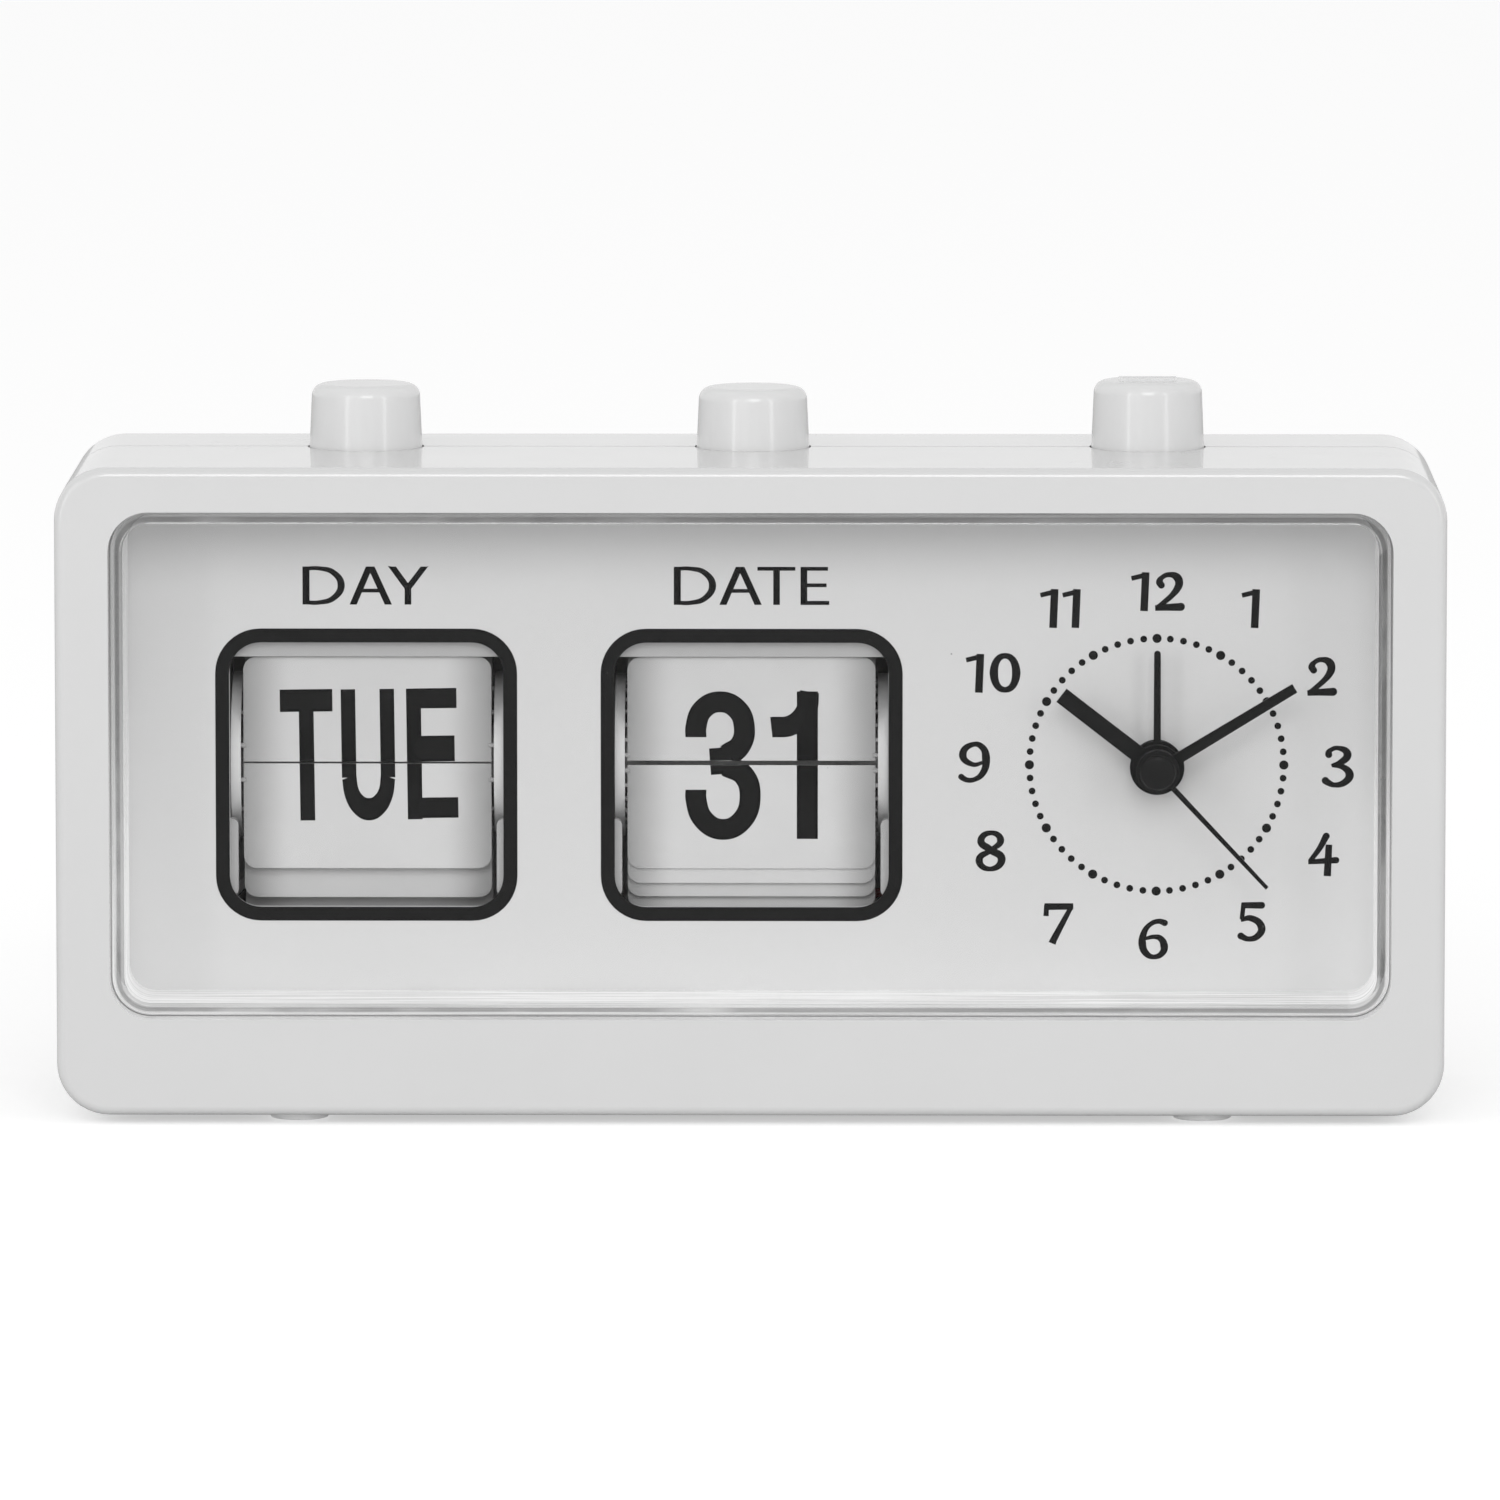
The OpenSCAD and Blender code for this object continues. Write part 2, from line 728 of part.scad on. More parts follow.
module lens() {
    color("lightcyan", 0.4)
        difference() {
            union() {
                translate([0, dial_front, open_mid])
                    rotate([90, 0, 0])
                        rounded_block(lens_w, lens_h, dial_front - lens_front, lens_r, lens_edge, 0);
                plate(bezel_back, flange_back)
                    translate([0, open_mid])
                        rounded_rect(lens_w + 2 * lens_flange, lens_h + 2 * lens_flange,
                            lens_r + lens_flange);
            }
            plate(lens_front + lens_t, dial_front + past)
                translate([0, open_mid])
                    rounded_rect(lens_w - 2 * lens_t, lens_h - 2 * lens_t, lens_r - lens_t);
        }
}

module dial_plate() {
    color("gainsboro")
        difference() {
            union() {
                plate(dial_front, dial_back) {
                    translate([0, (dial_z0 + dial_z1) / 2])
                        rounded_rect(dial_w, dial_z1 - dial_z0, dial_r);
                    for (side = [-1, 1])
                        translate([side * low_screw_x, (dial_z0 + past + low_screw_z - low_boss_r) / 2])
                            square([tab_w, dial_z0 + past - low_screw_z + low_boss_r], center = true);
                }
                for (at = concat(frame_lugs, move_lugs))
                    y_rod(at, lug_r - 0.4, dial_back - dial_t / 2, frame_front);
            }
            for (x = [day_x, date_x])
                plate(dial_front - past, dial_back + past)
                    translate([x, window_z])
                        rounded_rect(window_w, window_h, window_r);
            y_rod(clock, dial_hole_r, dial_front - past, dial_back + past);
            for (at = dial_screw_at)
                y_rod(at, screw_r + slip, dial_front - past, dial_back + past);
            for (at = concat(frame_lugs, move_lugs))
                y_rod(at, screw_r + seat, dial_front + screw_depth, frame_front + past);
        }
}

module feet() {
    color("lightgray")
        for (side = [-1, 1], y = [case_front + foot_in, case_back - foot_in])
            translate([side * foot_x, y, 0])
                rotate_extrude() {
                    translate([0, foot_edge])
                        square([foot_r, foot_h - foot_edge]);
                    square([foot_r - foot_edge, foot_h]);
                    translate([foot_r - foot_edge, foot_edge])
                        circle(foot_edge);
                    square([foot_r / 2, foot_h + wall / 2]);
                }
}

module case_screws() {
    color(steel)
        for (side = [-1, 1], z = post_zs)
            difference() {
                union() {
                    y_rod([side * post_x, z], case_head_r, case_head_y, case_head_y + case_head_h);
                    y_rod([side * post_x, z], case_screw_r, case_head_y - case_screw_len, case_head_y + 1);
                }
                for (turn = [0, 90])
                    translate([side * post_x, case_head_y + case_head_h, z])
                        rotate([0, turn, 0])
                            cube(case_recess, center = true);
            }
}

module dial_screws() {
    color(steel)
        for (at = dial_screw_at)
            screw(at, dial_back, dial_screw_len);
}

module battery_door() {
    groove = 0.4;
    color(white)
        difference() {
            translate([bay_x, 0, cell_z])
                box([slip - door_w / 2, case_back - door_t, slip - door_h / 2],
                    [door_w / 2 - slip, case_back, door_h / 2 - slip]);
            for (i = [-2 : 2])
                translate([bay_x + door_w / 2 - 8 + 2 * i, case_back, cell_z])
                    cube([2 * groove, 2 * groove, door_h / 2], center = true);
        }
}

module battery_cell() {
    nub_r = 2.7;
    nub_len = 1.4;
    x1 = bay_x1 - plate_t;
    color("darkslateblue") {
        x_rod(cell_y, cell_z, cell_r, x1 - cell_len, x1 - nub_len);
        x_rod(cell_y, cell_z, nub_r, x1 - nub_len - past, x1);
    }
}

module contact_spring() {
    turns = 3;
    wire = 0.35;
    x0 = bay_x0 + plate_t + wire / 2;
    x1 = bay_x1 - plate_t - cell_len - wire;
    path = [for (p = helix(0, 0, 4, x0, x1, turns)) [p[2], cell_y + p[0], cell_z + p[1]]];
    echo(contact_spring_gap = coil_gap(path, wire));
    color(steel) {
        tube(path, wire, wire_sides, [1, 0, 0]);
        contact_leaf(bay_x0, lead_y);
    }
}

// Flat end contact with a tab that comes up through the bay
module contact_leaf(x0, tab_y) {
    half = cell_r - 1;
    box([x0, cell_y - half, cell_z - half], [x0 + plate_t, cell_y + half, cell_z + cell_r]);
    box([x0, tab_y - tab_half, cell_z], [x0 + plate_t, tab_y + tab_half, tab_z1]);
}

module contact_plate() {
    color(steel)
        contact_leaf(bay_x1 - plate_t, lead_turn);
}

module battery_leads() {
    color("firebrick") {
        tube(plus_route, lead_r, 8, [0, 0, 1]);
        tube(minus_route, lead_r, 8, [0, 0, 1]);
    }
}

module buzzer() {
    throat_r = 2;
    color(black)
        difference() {
            y_rod(buzzer_at, buzzer_r, buzzer_y[0], buzzer_y[1]);
            y_rod(buzzer_at, throat_r, buzzer_y[1] - 2, buzzer_y[1] + past);
        }
}

module buzzer_lead() {
    color("firebrick")
        tube(buzzer_route, lead_r, 8, [0, 0, 1]);
}

// Square hollow of the movement between two depths
module move_block(w, y0, y1) {
    translate([clock_x - w / 2, y0, clock_z - w / 2])
        cube([w, y1 - y0, w]);
}

module movement_front() {
    color(black)
        difference() {
            union() {
                difference() {
                    move_block(move_w, move_y0, move_split);
                    move_block(move_in, move_y0 + move_wall, move_split + past);
                }
                y_rod(clock, bush_r, bush_y, move_y0 + past);
                for (x = [-1, 1], z = [-1, 1])
                    y_rod(clock + train_post * [x, z], 1.6, move_y0 + past, train_y[0]);
                for (at = move_lugs)
                    move_lug(at);
            }
            y_rod(clock, alarm_r + fit, bush_y - past, move_y0 + 2 * past);
            y_rod(minute_at, arbor_r + fit, move_y0 + 0.4, move_y0 + 2 * past);
            y_rod(alarm_at, arbor_r + fit, move_y0 + 0.4, move_y0 + 2 * past);
            for (at = move_lugs)
                y_rod(at, screw_r + slip, frame_front - past, frame_front + lug_t + past);
        }
}

// Ear beside the movement case, reaching from the case to its screw
module move_lug(at) {
    out = unit(at - [clock_x - (abs(at[0] - clock_x) < move_w / 2 ? clock_x - at[0] : 0),
        clock_z + (abs(at[1] - clock_z) < move_w / 2 ? at[1] - clock_z : 0)]);
    y_rod(at, lug_r, frame_front, frame_front + lug_t);
    translate([at[0] - out[0] * lug_r, frame_front + lug_t / 2, at[1] - out[1] * lug_r])
        cube([2 * lug_r, lug_t, 2 * lug_r], center = true);
}

module movement_rear() {
    color(black)
        difference() {
            union() {
                difference() {
                    move_block(move_w, move_split, move_y1);
                    move_block(move_in, move_split - past, move_y1 - move_wall);
                }
                y_rod(clock, 1.8, second_y[1] + 1.2, move_y1 - move_wall / 2);
                y_rod(step_at, 1.2, step_y[1] + 1, move_y1 - move_wall / 2);
                y_rod(rotor_at, 1.5, magnet_y[1] + 0.5, move_y1 - move_wall / 2);
                for (x = stator_x)
                    y_rod([x + (x < rotor_at[0] ? 1 : -1) * stator_w / 2, core_z], 1.2, stator_y[1],
                        move_y1 - move_wall / 2);
                for (z = [3, board_h - 3])
                    y_rod([board_x + board_w - 3, board_z + z], board_post_r, board_y[1],
                        move_y1 - move_wall / 2);
            }
            y_rod(clock, second_r + fit, second_y[1], second_y[1] + 4);
            y_rod(step_at, fine_r + fit, step_y[1], step_y[1] + 4);
            y_rod(rotor_at, fine_r + fit, magnet_y[1], magnet_y[1] + 3);
            y_rod(knob_at, knob_shaft_r + fit, move_y1 - move_wall - past, move_y1 + past);
            y_rod(alarm_at, knob_shaft_r + fit, move_y1 - move_wall - past, move_y1 + past);
            for (at = [plus_hole, minus_hole, buzzer_hole])
                y_rod(at, lead_r + gap, move_y1 - move_wall - past, move_y1 + past);
        }
}

module train_plate() {
    color(steel)
        difference() {
            translate([clock_x - train_half, train_y[0], clock_z - train_half])
                cube([2 * train_half, train_y[1] - train_y[0], 2 * train_half]);
            y_rod(clock, minute_r + gap, train_y[0] - past, train_y[1] + past);
            for (at = [knob_at, alarm_at])
                y_rod(at, knob_shaft_r + fit, train_y[0] - past, train_y[1] + past);
            y_rod(minute_at, arbor_r + fit, train_y[0] - past, train_y[1] + past);
            for (at = [step_at, rotor_at])
                y_rod(at, fine_r + fit, train_y[0] - past, train_y[1] + past);
        }
}

module movement_screws() {
    color(steel)
        for (at = move_lugs)
            screw(at, frame_front + lug_t, frame_front + lug_t - dial_front - screw_depth - 0.2);
}

module circuit_board() {
    chip_r = 3;
    color("seagreen") {
        box([board_x, board_y[0], board_z], [board_x + board_w, board_y[1], board_z + board_h]);
        y_rod([board_x + 12, board_z + 12], chip_r, board_y[0] - 1, board_y[0] + 0.2);
        x_rod(board_y[0] - 0.9, board_z + 4, 1, board_x + 8, board_x + 14);
    }
}

module coil() {
    color("chocolate")
        difference() {
            x_rod((stator_y[0] + stator_y[1]) / 2, core_z, coil_r, stator_x[0] + stator_w + gap,
                stator_x[1] - stator_w - gap);
            box([stator_x[0], stator_y[0] - seat, core_z - stator_w / 2 - seat],
                [stator_x[1], stator_y[1] + seat, core_z + stator_w / 2 + seat]);
        }
}

module stator() {
    pole = 3.5;
    color(steel)
        difference() {
            union() {
                box([stator_x[0], stator_y[0], rotor_at[1] - pole],
                    [stator_x[0] + stator_w, stator_y[1], core_z + stator_w / 2]);
                box([stator_x[1] - stator_w, stator_y[0], rotor_at[1] + pole - stator_w / 2],
                    [stator_x[1], stator_y[1], core_z + stator_w / 2]);
                box([stator_x[0], stator_y[0], core_z - stator_w / 2],
                    [stator_x[1], stator_y[1], core_z + stator_w / 2]);
                box([stator_x[0], stator_y[0], rotor_at[1] - pole],
                    [rotor_at[0] + pole + past, stator_y[1], rotor_at[1] + pole]);
            }
            y_rod(rotor_at, magnet_r + gap, stator_y[0] - past, stator_y[1] + past);
        }
}

// Phases of the gears at rest, worked outward from the middle of the dial
minute_phase = mesh_phase(0, cannon_n, minute_n, minute_dir);
pinion_phase = mesh_phase(0, hour_n, pinion_n, minute_dir);
knob_phase = mesh_phase(minute_phase, minute_n, knob_n, knob_dir);
alarm_pinion_phase = mesh_phase(0, alarm_n, alarm_pinion_n, alarm_dir);
step_pinion_phase = mesh_phase(0, second_n, step_pinion_n, step_dir);
rotor_phase = mesh_phase(0, step_n, rotor_n, rotor_dir);

module rotor() {
    color(steel) {
        gear(rotor_at, rotor_n, step_module, rotor_phase, step_y);
        y_rod(rotor_at, magnet_r, magnet_y[0], magnet_y[1]);
        y_rod(rotor_at, fine_r, train_y[0] + 0.1, magnet_y[1] + 2.5);
    }
}

module step_wheel() {
    color(white) {
        gear(step_at, step_n, step_module, 0, step_y);
        gear(step_at, step_pinion_n, step_module, step_pinion_phase, second_y);
        y_rod(step_at, 0.8, second_y[0], step_y[1]);
        y_rod(step_at, fine_r, train_y[0] + 0.1, step_y[1] + 3);
    }
}

module second_wheel() {
    color(brass) {
        gear(clock, second_n, step_module, 0, second_y);
        y_rod(clock, second_r, second_hand_y - hand_t, second_y[1] + 3.5);
    }
}

// A pointer that tapers from its hub to its tip, turned clockwise from twelve
module pointer(y0, length, w, hub, bore, angle) {
    plate(y0 - hand_t, y0)
        translate(clock)
            rotate(-angle)
                difference() {
                    union() {
                        polygon([[-w[0] / 2, 0], [w[0] / 2, 0], [w[1] / 2, length], [-w[1] / 2, length]]);
                        circle(hub);
                    }
                    circle(bore);
                }
}

module second_hand() {
    cap_h = second_hand_y - hand_t - cap_y;
    color(black) {
        pointer(second_hand_y, second_len, second_w, second_hub, second_r + seat, second_angle);
        translate([clock_x, second_hand_y - hand_t, clock_z])
            rotate([90, 0, 0])
                rotate_extrude()
                    edge_profile(cap_r, cap_h, cap_dome, 0);
    }
}

module cannon_pinion() {
    color(brass)
        difference() {
            union() {
                gear(clock, cannon_n, hand_module, 0, minute_y);
                y_rod(clock, minute_r, minute_hand_y - hand_t, train_y[1]);
            }
            y_rod(clock, second_r + fit, minute_hand_y - hand_t - past, train_y[1] + past);
        }
}

module minute_hand() {
    color(black)
        pointer(minute_hand_y, minute_len, minute_w, minute_hub, minute_r + seat, minute_angle);
}

module minute_wheel() {
    color(brass) {
        gear(minute_at, minute_n, hand_module, minute_phase, minute_y);
        gear(minute_at, pinion_n, hand_module, pinion_phase, [hour_y[0], minute_y[0] + 0.1]);
        y_rod(minute_at, arbor_r, move_y0 + 0.5, train_y[1]);
    }
}

module hour_wheel() {
    color(brass)
        difference() {
            union() {
                gear(clock, hour_n, hand_module, 0, hour_y);
                y_rod(clock, hour_r, hour_hand_y - hand_t, hour_y[1]);
            }
            y_rod(clock, minute_r + fit, hour_hand_y - hand_t - past, hour_y[1] + past);
        }
}

module hour_hand() {
    color(black)
        pointer(hour_hand_y, hour_len, hour_w, hour_hub, hour_r + seat, hour_angle);
}

module alarm_wheel() {
    color(brass)
        difference() {
            union() {
                gear(clock, alarm_n, hand_module, 0, alarm_y);
                y_rod(clock, alarm_r, alarm_hand_y - hand_t, alarm_y[1]);
            }
            y_rod(clock, hour_r + fit, alarm_hand_y - hand_t - past, alarm_y[1] + past);
        }
}

module alarm_hand() {
    tip = alarm_w[1] / 2;
    color(black) {
        pointer(alarm_hand_y, alarm_len - tip, alarm_w, alarm_hub, alarm_r + seat, alarm_angle);
        y_rod(clock + polar(alarm_len - tip, 90 - alarm_angle), tip, alarm_hand_y - hand_t, alarm_hand_y);
    }
}

// Fluted knob at the back, on a shaft that ends in a pinion
module set_knob(at, n, phase, ys, front) {
    flutes = 16;
    flute_r = 0.6;
    color(white) {
        gear(at, n, hand_module, phase, ys);
        y_rod(at, knob_shaft_r, ys[1] - 0.2, knob_front + past);
        y_rod(at, arbor_r, front, ys[1]);
        difference() {
            y_rod(at, knob_r, knob_front, knob_back);
            for (i = [0 : flutes - 1])
                y_rod(at + polar(knob_r + flute_r / 3, 360 * i / flutes), flute_r, knob_front - past,
                    knob_back + past);
        }
    }
}

module time_set_knob() {
    set_knob(knob_at, knob_n, knob_phase, minute_y, minute_y[0]);
}

module alarm_set_knob() {
    set_knob(alarm_at, alarm_pinion_n, alarm_pinion_phase, alarm_y, move_y0 + 0.5);
}

// One end plate of a drum bay: axle bearing, bridge support and a leg at the dial
module cheek(x0) {
    side_plate(x0, x0 + cheek_t) {
        translate([frame_front, drum_z - 4])
            square([frame_back - frame_front, bridge_z0 + past - drum_z + 4]);
        translate([frame_front, leg_z0])
            square([leg_d, drum_z - leg_z0]);
    }
}

// Slot in the bridge that guides a push bar
module bar_slot(x, step) {
    y1 = drum_y - ratchet_r(step) - tooth_h - gap;
    box([x + ratchet_x0 - 2 * slip, y1 - bar_t - 2 * slip, bridge_z0 - past],
        [x + ratchet_x1 + 2 * slip, y1 + 2 * slip, bridge_z1 + past]);
}

module calendar_frame() {
    x0 = day_x - cheek_x1;
    x1 = date_x + ratchet_x1 + 2;
    color(white)
        difference() {
            union() {
                for (x = [day_x, date_x]) {
                    cheek(x - cheek_x1);
                    cheek(x + cheek_x0);
                    lip(x);
                    for (side = [-1, 1])
                        guide_tab(x, side);
                }
                box([x0, frame_front, bridge_z0], [x1, bridge_back, bridge_z1]);
                for (at = frame_lugs)
                    y_rod(at, lug_r, frame_front, frame_front + lug_t);
                for (i = [0, 1])
                    frame_strap(frame_lugs[i], x0 + past, frame_lugs[i][0]);
                frame_strap(frame_lugs[2], day_x + cheek_x0, date_x - cheek_x0);
                frame_strap(frame_lugs[3], date_x + cheek_x0, frame_lugs[3][0]);
            }
            for (x = [day_x, date_x])
                x_rod(drum_y, drum_z, axle_r + fit, x - cheek_x1 - past, x + cheek_x1 + past);
            z_rod(day_button_x, part_y, stem_r + fit, bridge_z0 - past, bridge_z1 + past);
            z_rod(date_button_x, part_y, stem_r + fit, bridge_z0 - past, bridge_z1 + past);
            bar_slot(day_x, day_step);
            bar_slot(date_x, date_step);
            for (at = frame_lugs)
                y_rod(at, screw_r + slip, frame_front - past, frame_front + lug_t + past);
        }
}

// Bar that joins a lug to the frame
module frame_strap(at, xa, xb) {
    box([min(xa, xb), frame_front, at[1] - lug_r], [max(xa, xb), frame_front + lug_t, at[1] + lug_r]);
}

// Sloping lip above a window, just over the free edge of the standing card
module lip(x) {
    side_plate(x - window_w / 2, x + window_w / 2)
        polygon([[frame_front, bridge_z1], [lip_y, bridge_z1], [lip_y, lip_z + lip_slope],
            [card_y - 2 * lip_t, lip_z], [card_y - lip_t, lip_z], [card_y - gap, lip_z + lip_slope],
            [frame_front, lip_z + lip_slope + lip_root]]);
}

// Tab beside the fallen cards, with a rounded top
module guide_tab(x, side) {
    plate(guide_y[0], guide_y[1])
        translate([x + side * (guide_x0 + guide_x1) / 2, (leg_z0 + guide_z1) / 2])
            rounded_rect(guide_x1 - guide_x0, guide_z1 - leg_z0, guide_r);
}

module frame_screws() {
    color(steel)
        for (at = frame_lugs)
            screw(at, frame_front + lug_t, frame_front + lug_t - dial_front - screw_depth - 0.2);
}

// A push button with its guide flange, spring hub and stem
module button(x, h, stem_end) {
    top = case_z1 + h;
    color(white)
        difference() {
            translate([x, part_y, 0])
                rotate_extrude() {
                    polygon([[0, button_flange_z], [button_r, button_flange_z], [button_r, case_z1],
                        [button_top_r, top - button_edge], [0, top - button_edge]]);
                    translate([0, top - button_edge - past])
                        square([button_top_r - button_edge, button_edge + past]);
                    translate([button_top_r - button_edge, top - button_edge])
                        circle(button_edge);
                    translate([0, button_flange_z])
                        square([flange_r, button_flange_t]);
                    translate([0, stem_end])
                        square([stem_r, button_flange_z - stem_end + past]);
                }
            translate([x, part_y, 0])
                rotate_extrude() {
                    translate([spring_hub_r, button_flange_z - past])
                        square([button_r - cap_wall - spring_hub_r, top - crown_t - button_flange_z + past]);
                    translate([stem_r, button_flange_z - past])
                        square([spring_hub_r + past - stem_r, spring_hub_z - button_flange_z + past]);
                }
        }
}

module day_button() {
    button(day_button_x, day_button_h, stem_z0);
}

module date_button() {
    button(date_button_x, date_button_h, stem_z0);
}

module alarm_button() {
    mark_w = 7.5;
    mark_d = 1.6;
    button(alarm_button_x, alarm_button_h, switch_z1 - 2);
    color(white)
        for (y = [-1.5, 1.5])
            translate([alarm_button_x, part_y + y, case_z1 + alarm_button_h])
                cube([mark_w, mark_d, 2 * mark_h], center = true);
}

// Bar that carries the pawl nose from a button down to its ratchet
module push_bar(button_x, x, step) {
    contact_r = ratchet_r(step);
    bar_y1 = drum_y - contact_r - tooth_h - gap;
    nose_z = drum_z + contact_r * sin(step / 2) + nose_play;
    bar_x = [x + ratchet_x0, x + ratchet_x1];
    color(steel)
        difference() {
            union() {
                z_rod(button_x, part_y, flange_r - 0.2, arm_z0, arm_z1);
                box([button_x, part_y - arm_w / 2, arm_z0], [bar_x[1], part_y + arm_w / 2, arm_z1]);
                box([bar_x[0], bar_y1 - bar_t, arm_z0], [bar_x[1], part_y + arm_w / 2, arm_z1]);
                box([bar_x[0], bar_y1 - bar_t, nose_z], [bar_x[1], bar_y1, arm_z1]);
                box([bar_x[0], bar_y1 - bar_t, nose_z],
                    [bar_x[1], drum_y - contact_r * cos(step / 2) + tooth_h / 2, nose_z + nose_t]);
            }
            z_rod(button_x, part_y, arm_ring_r, arm_z0 - past, arm_z1 + past);
        }
}

module day_push_bar() {
    push_bar(day_button_x, day_x, day_step);
}

module date_push_bar() {
    push_bar(date_button_x, date_x, date_step);
}

// Return spring between a seat and the hub under a button
module return_spring(x, z0, turns) {
    path = helix(x, part_y, spring_r, z0 + spring_wire, spring_hub_z - spring_wire, turns);
    echo(spring_gap = coil_gap(path, spring_wire));
    color(steel)
        tube(path, spring_wire, wire_sides, [0, 0, 1]);
}

module day_spring() {
    return_spring(day_button_x, bridge_z1, 9);
}

module date_spring() {
    return_spring(date_button_x, bridge_z1, 9);
}

module alarm_spring() {
    return_spring(alarm_button_x, switch_z1, 4);
}

module alarm_switch() {
    color(black)
        difference() {
            box([alarm_button_x - switch_w / 2, part_y - switch_d / 2, switch_z0],
                [alarm_button_x + switch_w / 2, part_y + switch_d / 2, switch_z1]);
            z_rod(alarm_button_x, part_y, stem_r + fit, switch_z1 - alarm_stroke - 2.4, switch_z1 + past);
        }
}

module axle(x) {
    color(steel)
        x_rod(drum_y, drum_z, axle_r, x - cheek_x1, x + ratchet_x1);
}

module day_axle() {
    axle(day_x);
}

module date_axle() {
    axle(date_x);
}

// Point beside the drum, at an angle upward from its front
function beside(r, a) = [drum_y - r * cos(a), drum_z + r * sin(a)];

// Hub with two discs, drilled for the ears of n cards
module drum(x, n, step) {
    color(white)
        difference() {
            union() {
                x_rod(drum_y, drum_z, hub_r, x - disc_x0, x + disc_x0);
                for (x0 = [x - disc_x1, x + disc_x0])
                    x_rod(drum_y, drum_z, pin_r(step) + disc_rim, x0, x0 + disc_t);
            }
            x_rod(drum_y, drum_z, axle_r + seat, x - disc_x1 - past, x + disc_x1 + past);
            for (i = [0 : n - 1])
                let (at = beside(pin_r(step), step * (i + 0.5)))
                for (x0 = [x - disc_x1, x + disc_x0])
                    x_rod(at[0], at[1], ear_r + fit, x0 - past / 4, x0 + disc_t + past / 4);
        }
}

module day_drum() {
    drum(day_x, day_cards_n, day_step);
}

module date_drum() {
    drum(date_x, date_cards_n, date_step);
}

// Saw-toothed wheel: the nose pushes on the flat upper face of a tooth
module ratchet(x, n, step) {
    contact_r = ratchet_r(step);
    radii = [contact_r - tooth_h, contact_r + tooth_h, contact_r + tooth_h, contact_r - tooth_h];
    back = [tooth_part, tooth_part / 4, 0, 0];
    color(brass)
        difference() {
            side_plate(x + ratchet_x0, x + ratchet_x1)
                polygon([for (i = [0 : n - 1], k = [0 : 3]) beside(radii[k], step * (i + 0.5 - back[k]))]);
            x_rod(drum_y, drum_z, axle_r + seat, x + ratchet_x0 - past, x + ratchet_x1 + past);
        }
}

module day_ratchet() {
    ratchet(day_x, day_cards_n, day_step);
}

module date_ratchet() {
    ratchet(date_x, date_cards_n, date_step);
}

// A card with two ears and round free corners, hung at a pin angle and leaning back by tilt
module card(x, step, split, angle, tilt) {
    at = beside(pin_r(step), angle);
    foot = split - pin_h(step);
    top = card_len - pin_h(step);
    translate([x, at[0], at[1]])
        rotate([-tilt, 0, 0]) {
            plate(-card_t / 2, card_t / 2) {
                translate([-card_w / 2, foot])
                    square([card_w, top - card_r - foot]);
                translate([card_r - card_w / 2, foot])
                    square([card_w - 2 * card_r, top - foot]);
                for (side = [-1, 1])
                    translate([side * (card_w / 2 - card_r), top - card_r])
                        circle(card_r);
            }
            for (side = [0, 1])
                mirror([side, 0, 0])
                    x_rod(0, 0, ear_r, card_w / 2 - ear_in, disc_x1);
        }
}

// Waiting cards fan over the top of the drum, and fallen cards hang from its front and foot
module cards(x, n, step, split) {
    waiting = floor(n / 2);
    color("snow") {
        for (i = [1 : waiting])
            card(x, step, split, step * (i + 0.5), step * i);
        for (i = [1 : n - 1 - waiting])
            card(x, step, split, step * (0.5 - i), 180);
    }
}

module day_cards() {
    cards(day_x, day_cards_n, day_step, day_split);
}

module date_cards() {
    cards(date_x, date_cards_n, date_step, date_split);
}

module day_flap() {
    color("snow")
        card(day_x, day_step, day_split, day_step / 2, 0);
}

module date_flap() {
    color("snow")
        card(date_x, date_step, date_split, date_step / 2, 0);
}

front_shell();
rear_shell();
lens();
dial_plate();
feet();
case_screws();
dial_screws();
battery_door();
battery_cell();
contact_spring();
contact_plate();
battery_leads();
buzzer();
buzzer_lead();
movement_front();
movement_rear();
train_plate();
movement_screws();
circuit_board();
coil();
stator();
rotor();
step_wheel();
second_wheel();
second_hand();
cannon_pinion();
minute_hand();
minute_wheel();
hour_wheel();
hour_hand();
alarm_wheel();
alarm_hand();
time_set_knob();
alarm_set_knob();
calendar_frame();
frame_screws();
day_button();
day_push_bar();
day_spring();
day_axle();
day_drum();
day_ratchet();
day_cards();
day_flap();
date_button();
date_push_bar();
date_spring();
date_axle();
date_drum();
date_ratchet();
date_cards();
date_flap();
alarm_button();
alarm_spring();
alarm_switch();
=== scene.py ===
import json
import math

import bpy
from mathutils import Matrix, Vector


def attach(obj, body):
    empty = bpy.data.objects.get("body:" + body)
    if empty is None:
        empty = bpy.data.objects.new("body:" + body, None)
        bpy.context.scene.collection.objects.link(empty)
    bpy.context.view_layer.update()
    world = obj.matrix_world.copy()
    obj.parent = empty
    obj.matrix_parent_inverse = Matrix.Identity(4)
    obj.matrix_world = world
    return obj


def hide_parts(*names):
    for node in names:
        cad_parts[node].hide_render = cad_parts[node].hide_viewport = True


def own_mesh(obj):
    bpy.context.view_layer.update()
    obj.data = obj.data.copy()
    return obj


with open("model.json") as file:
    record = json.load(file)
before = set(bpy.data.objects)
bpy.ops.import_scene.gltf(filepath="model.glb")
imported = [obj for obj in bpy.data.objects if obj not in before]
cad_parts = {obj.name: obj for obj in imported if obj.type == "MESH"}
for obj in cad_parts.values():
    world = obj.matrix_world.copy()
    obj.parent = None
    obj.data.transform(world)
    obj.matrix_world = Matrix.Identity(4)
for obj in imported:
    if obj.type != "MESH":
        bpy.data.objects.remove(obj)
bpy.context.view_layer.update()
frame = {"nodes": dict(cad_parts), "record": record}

# Sizes are in millimetres, as in the part's source, and become metres here.
MM = 0.001
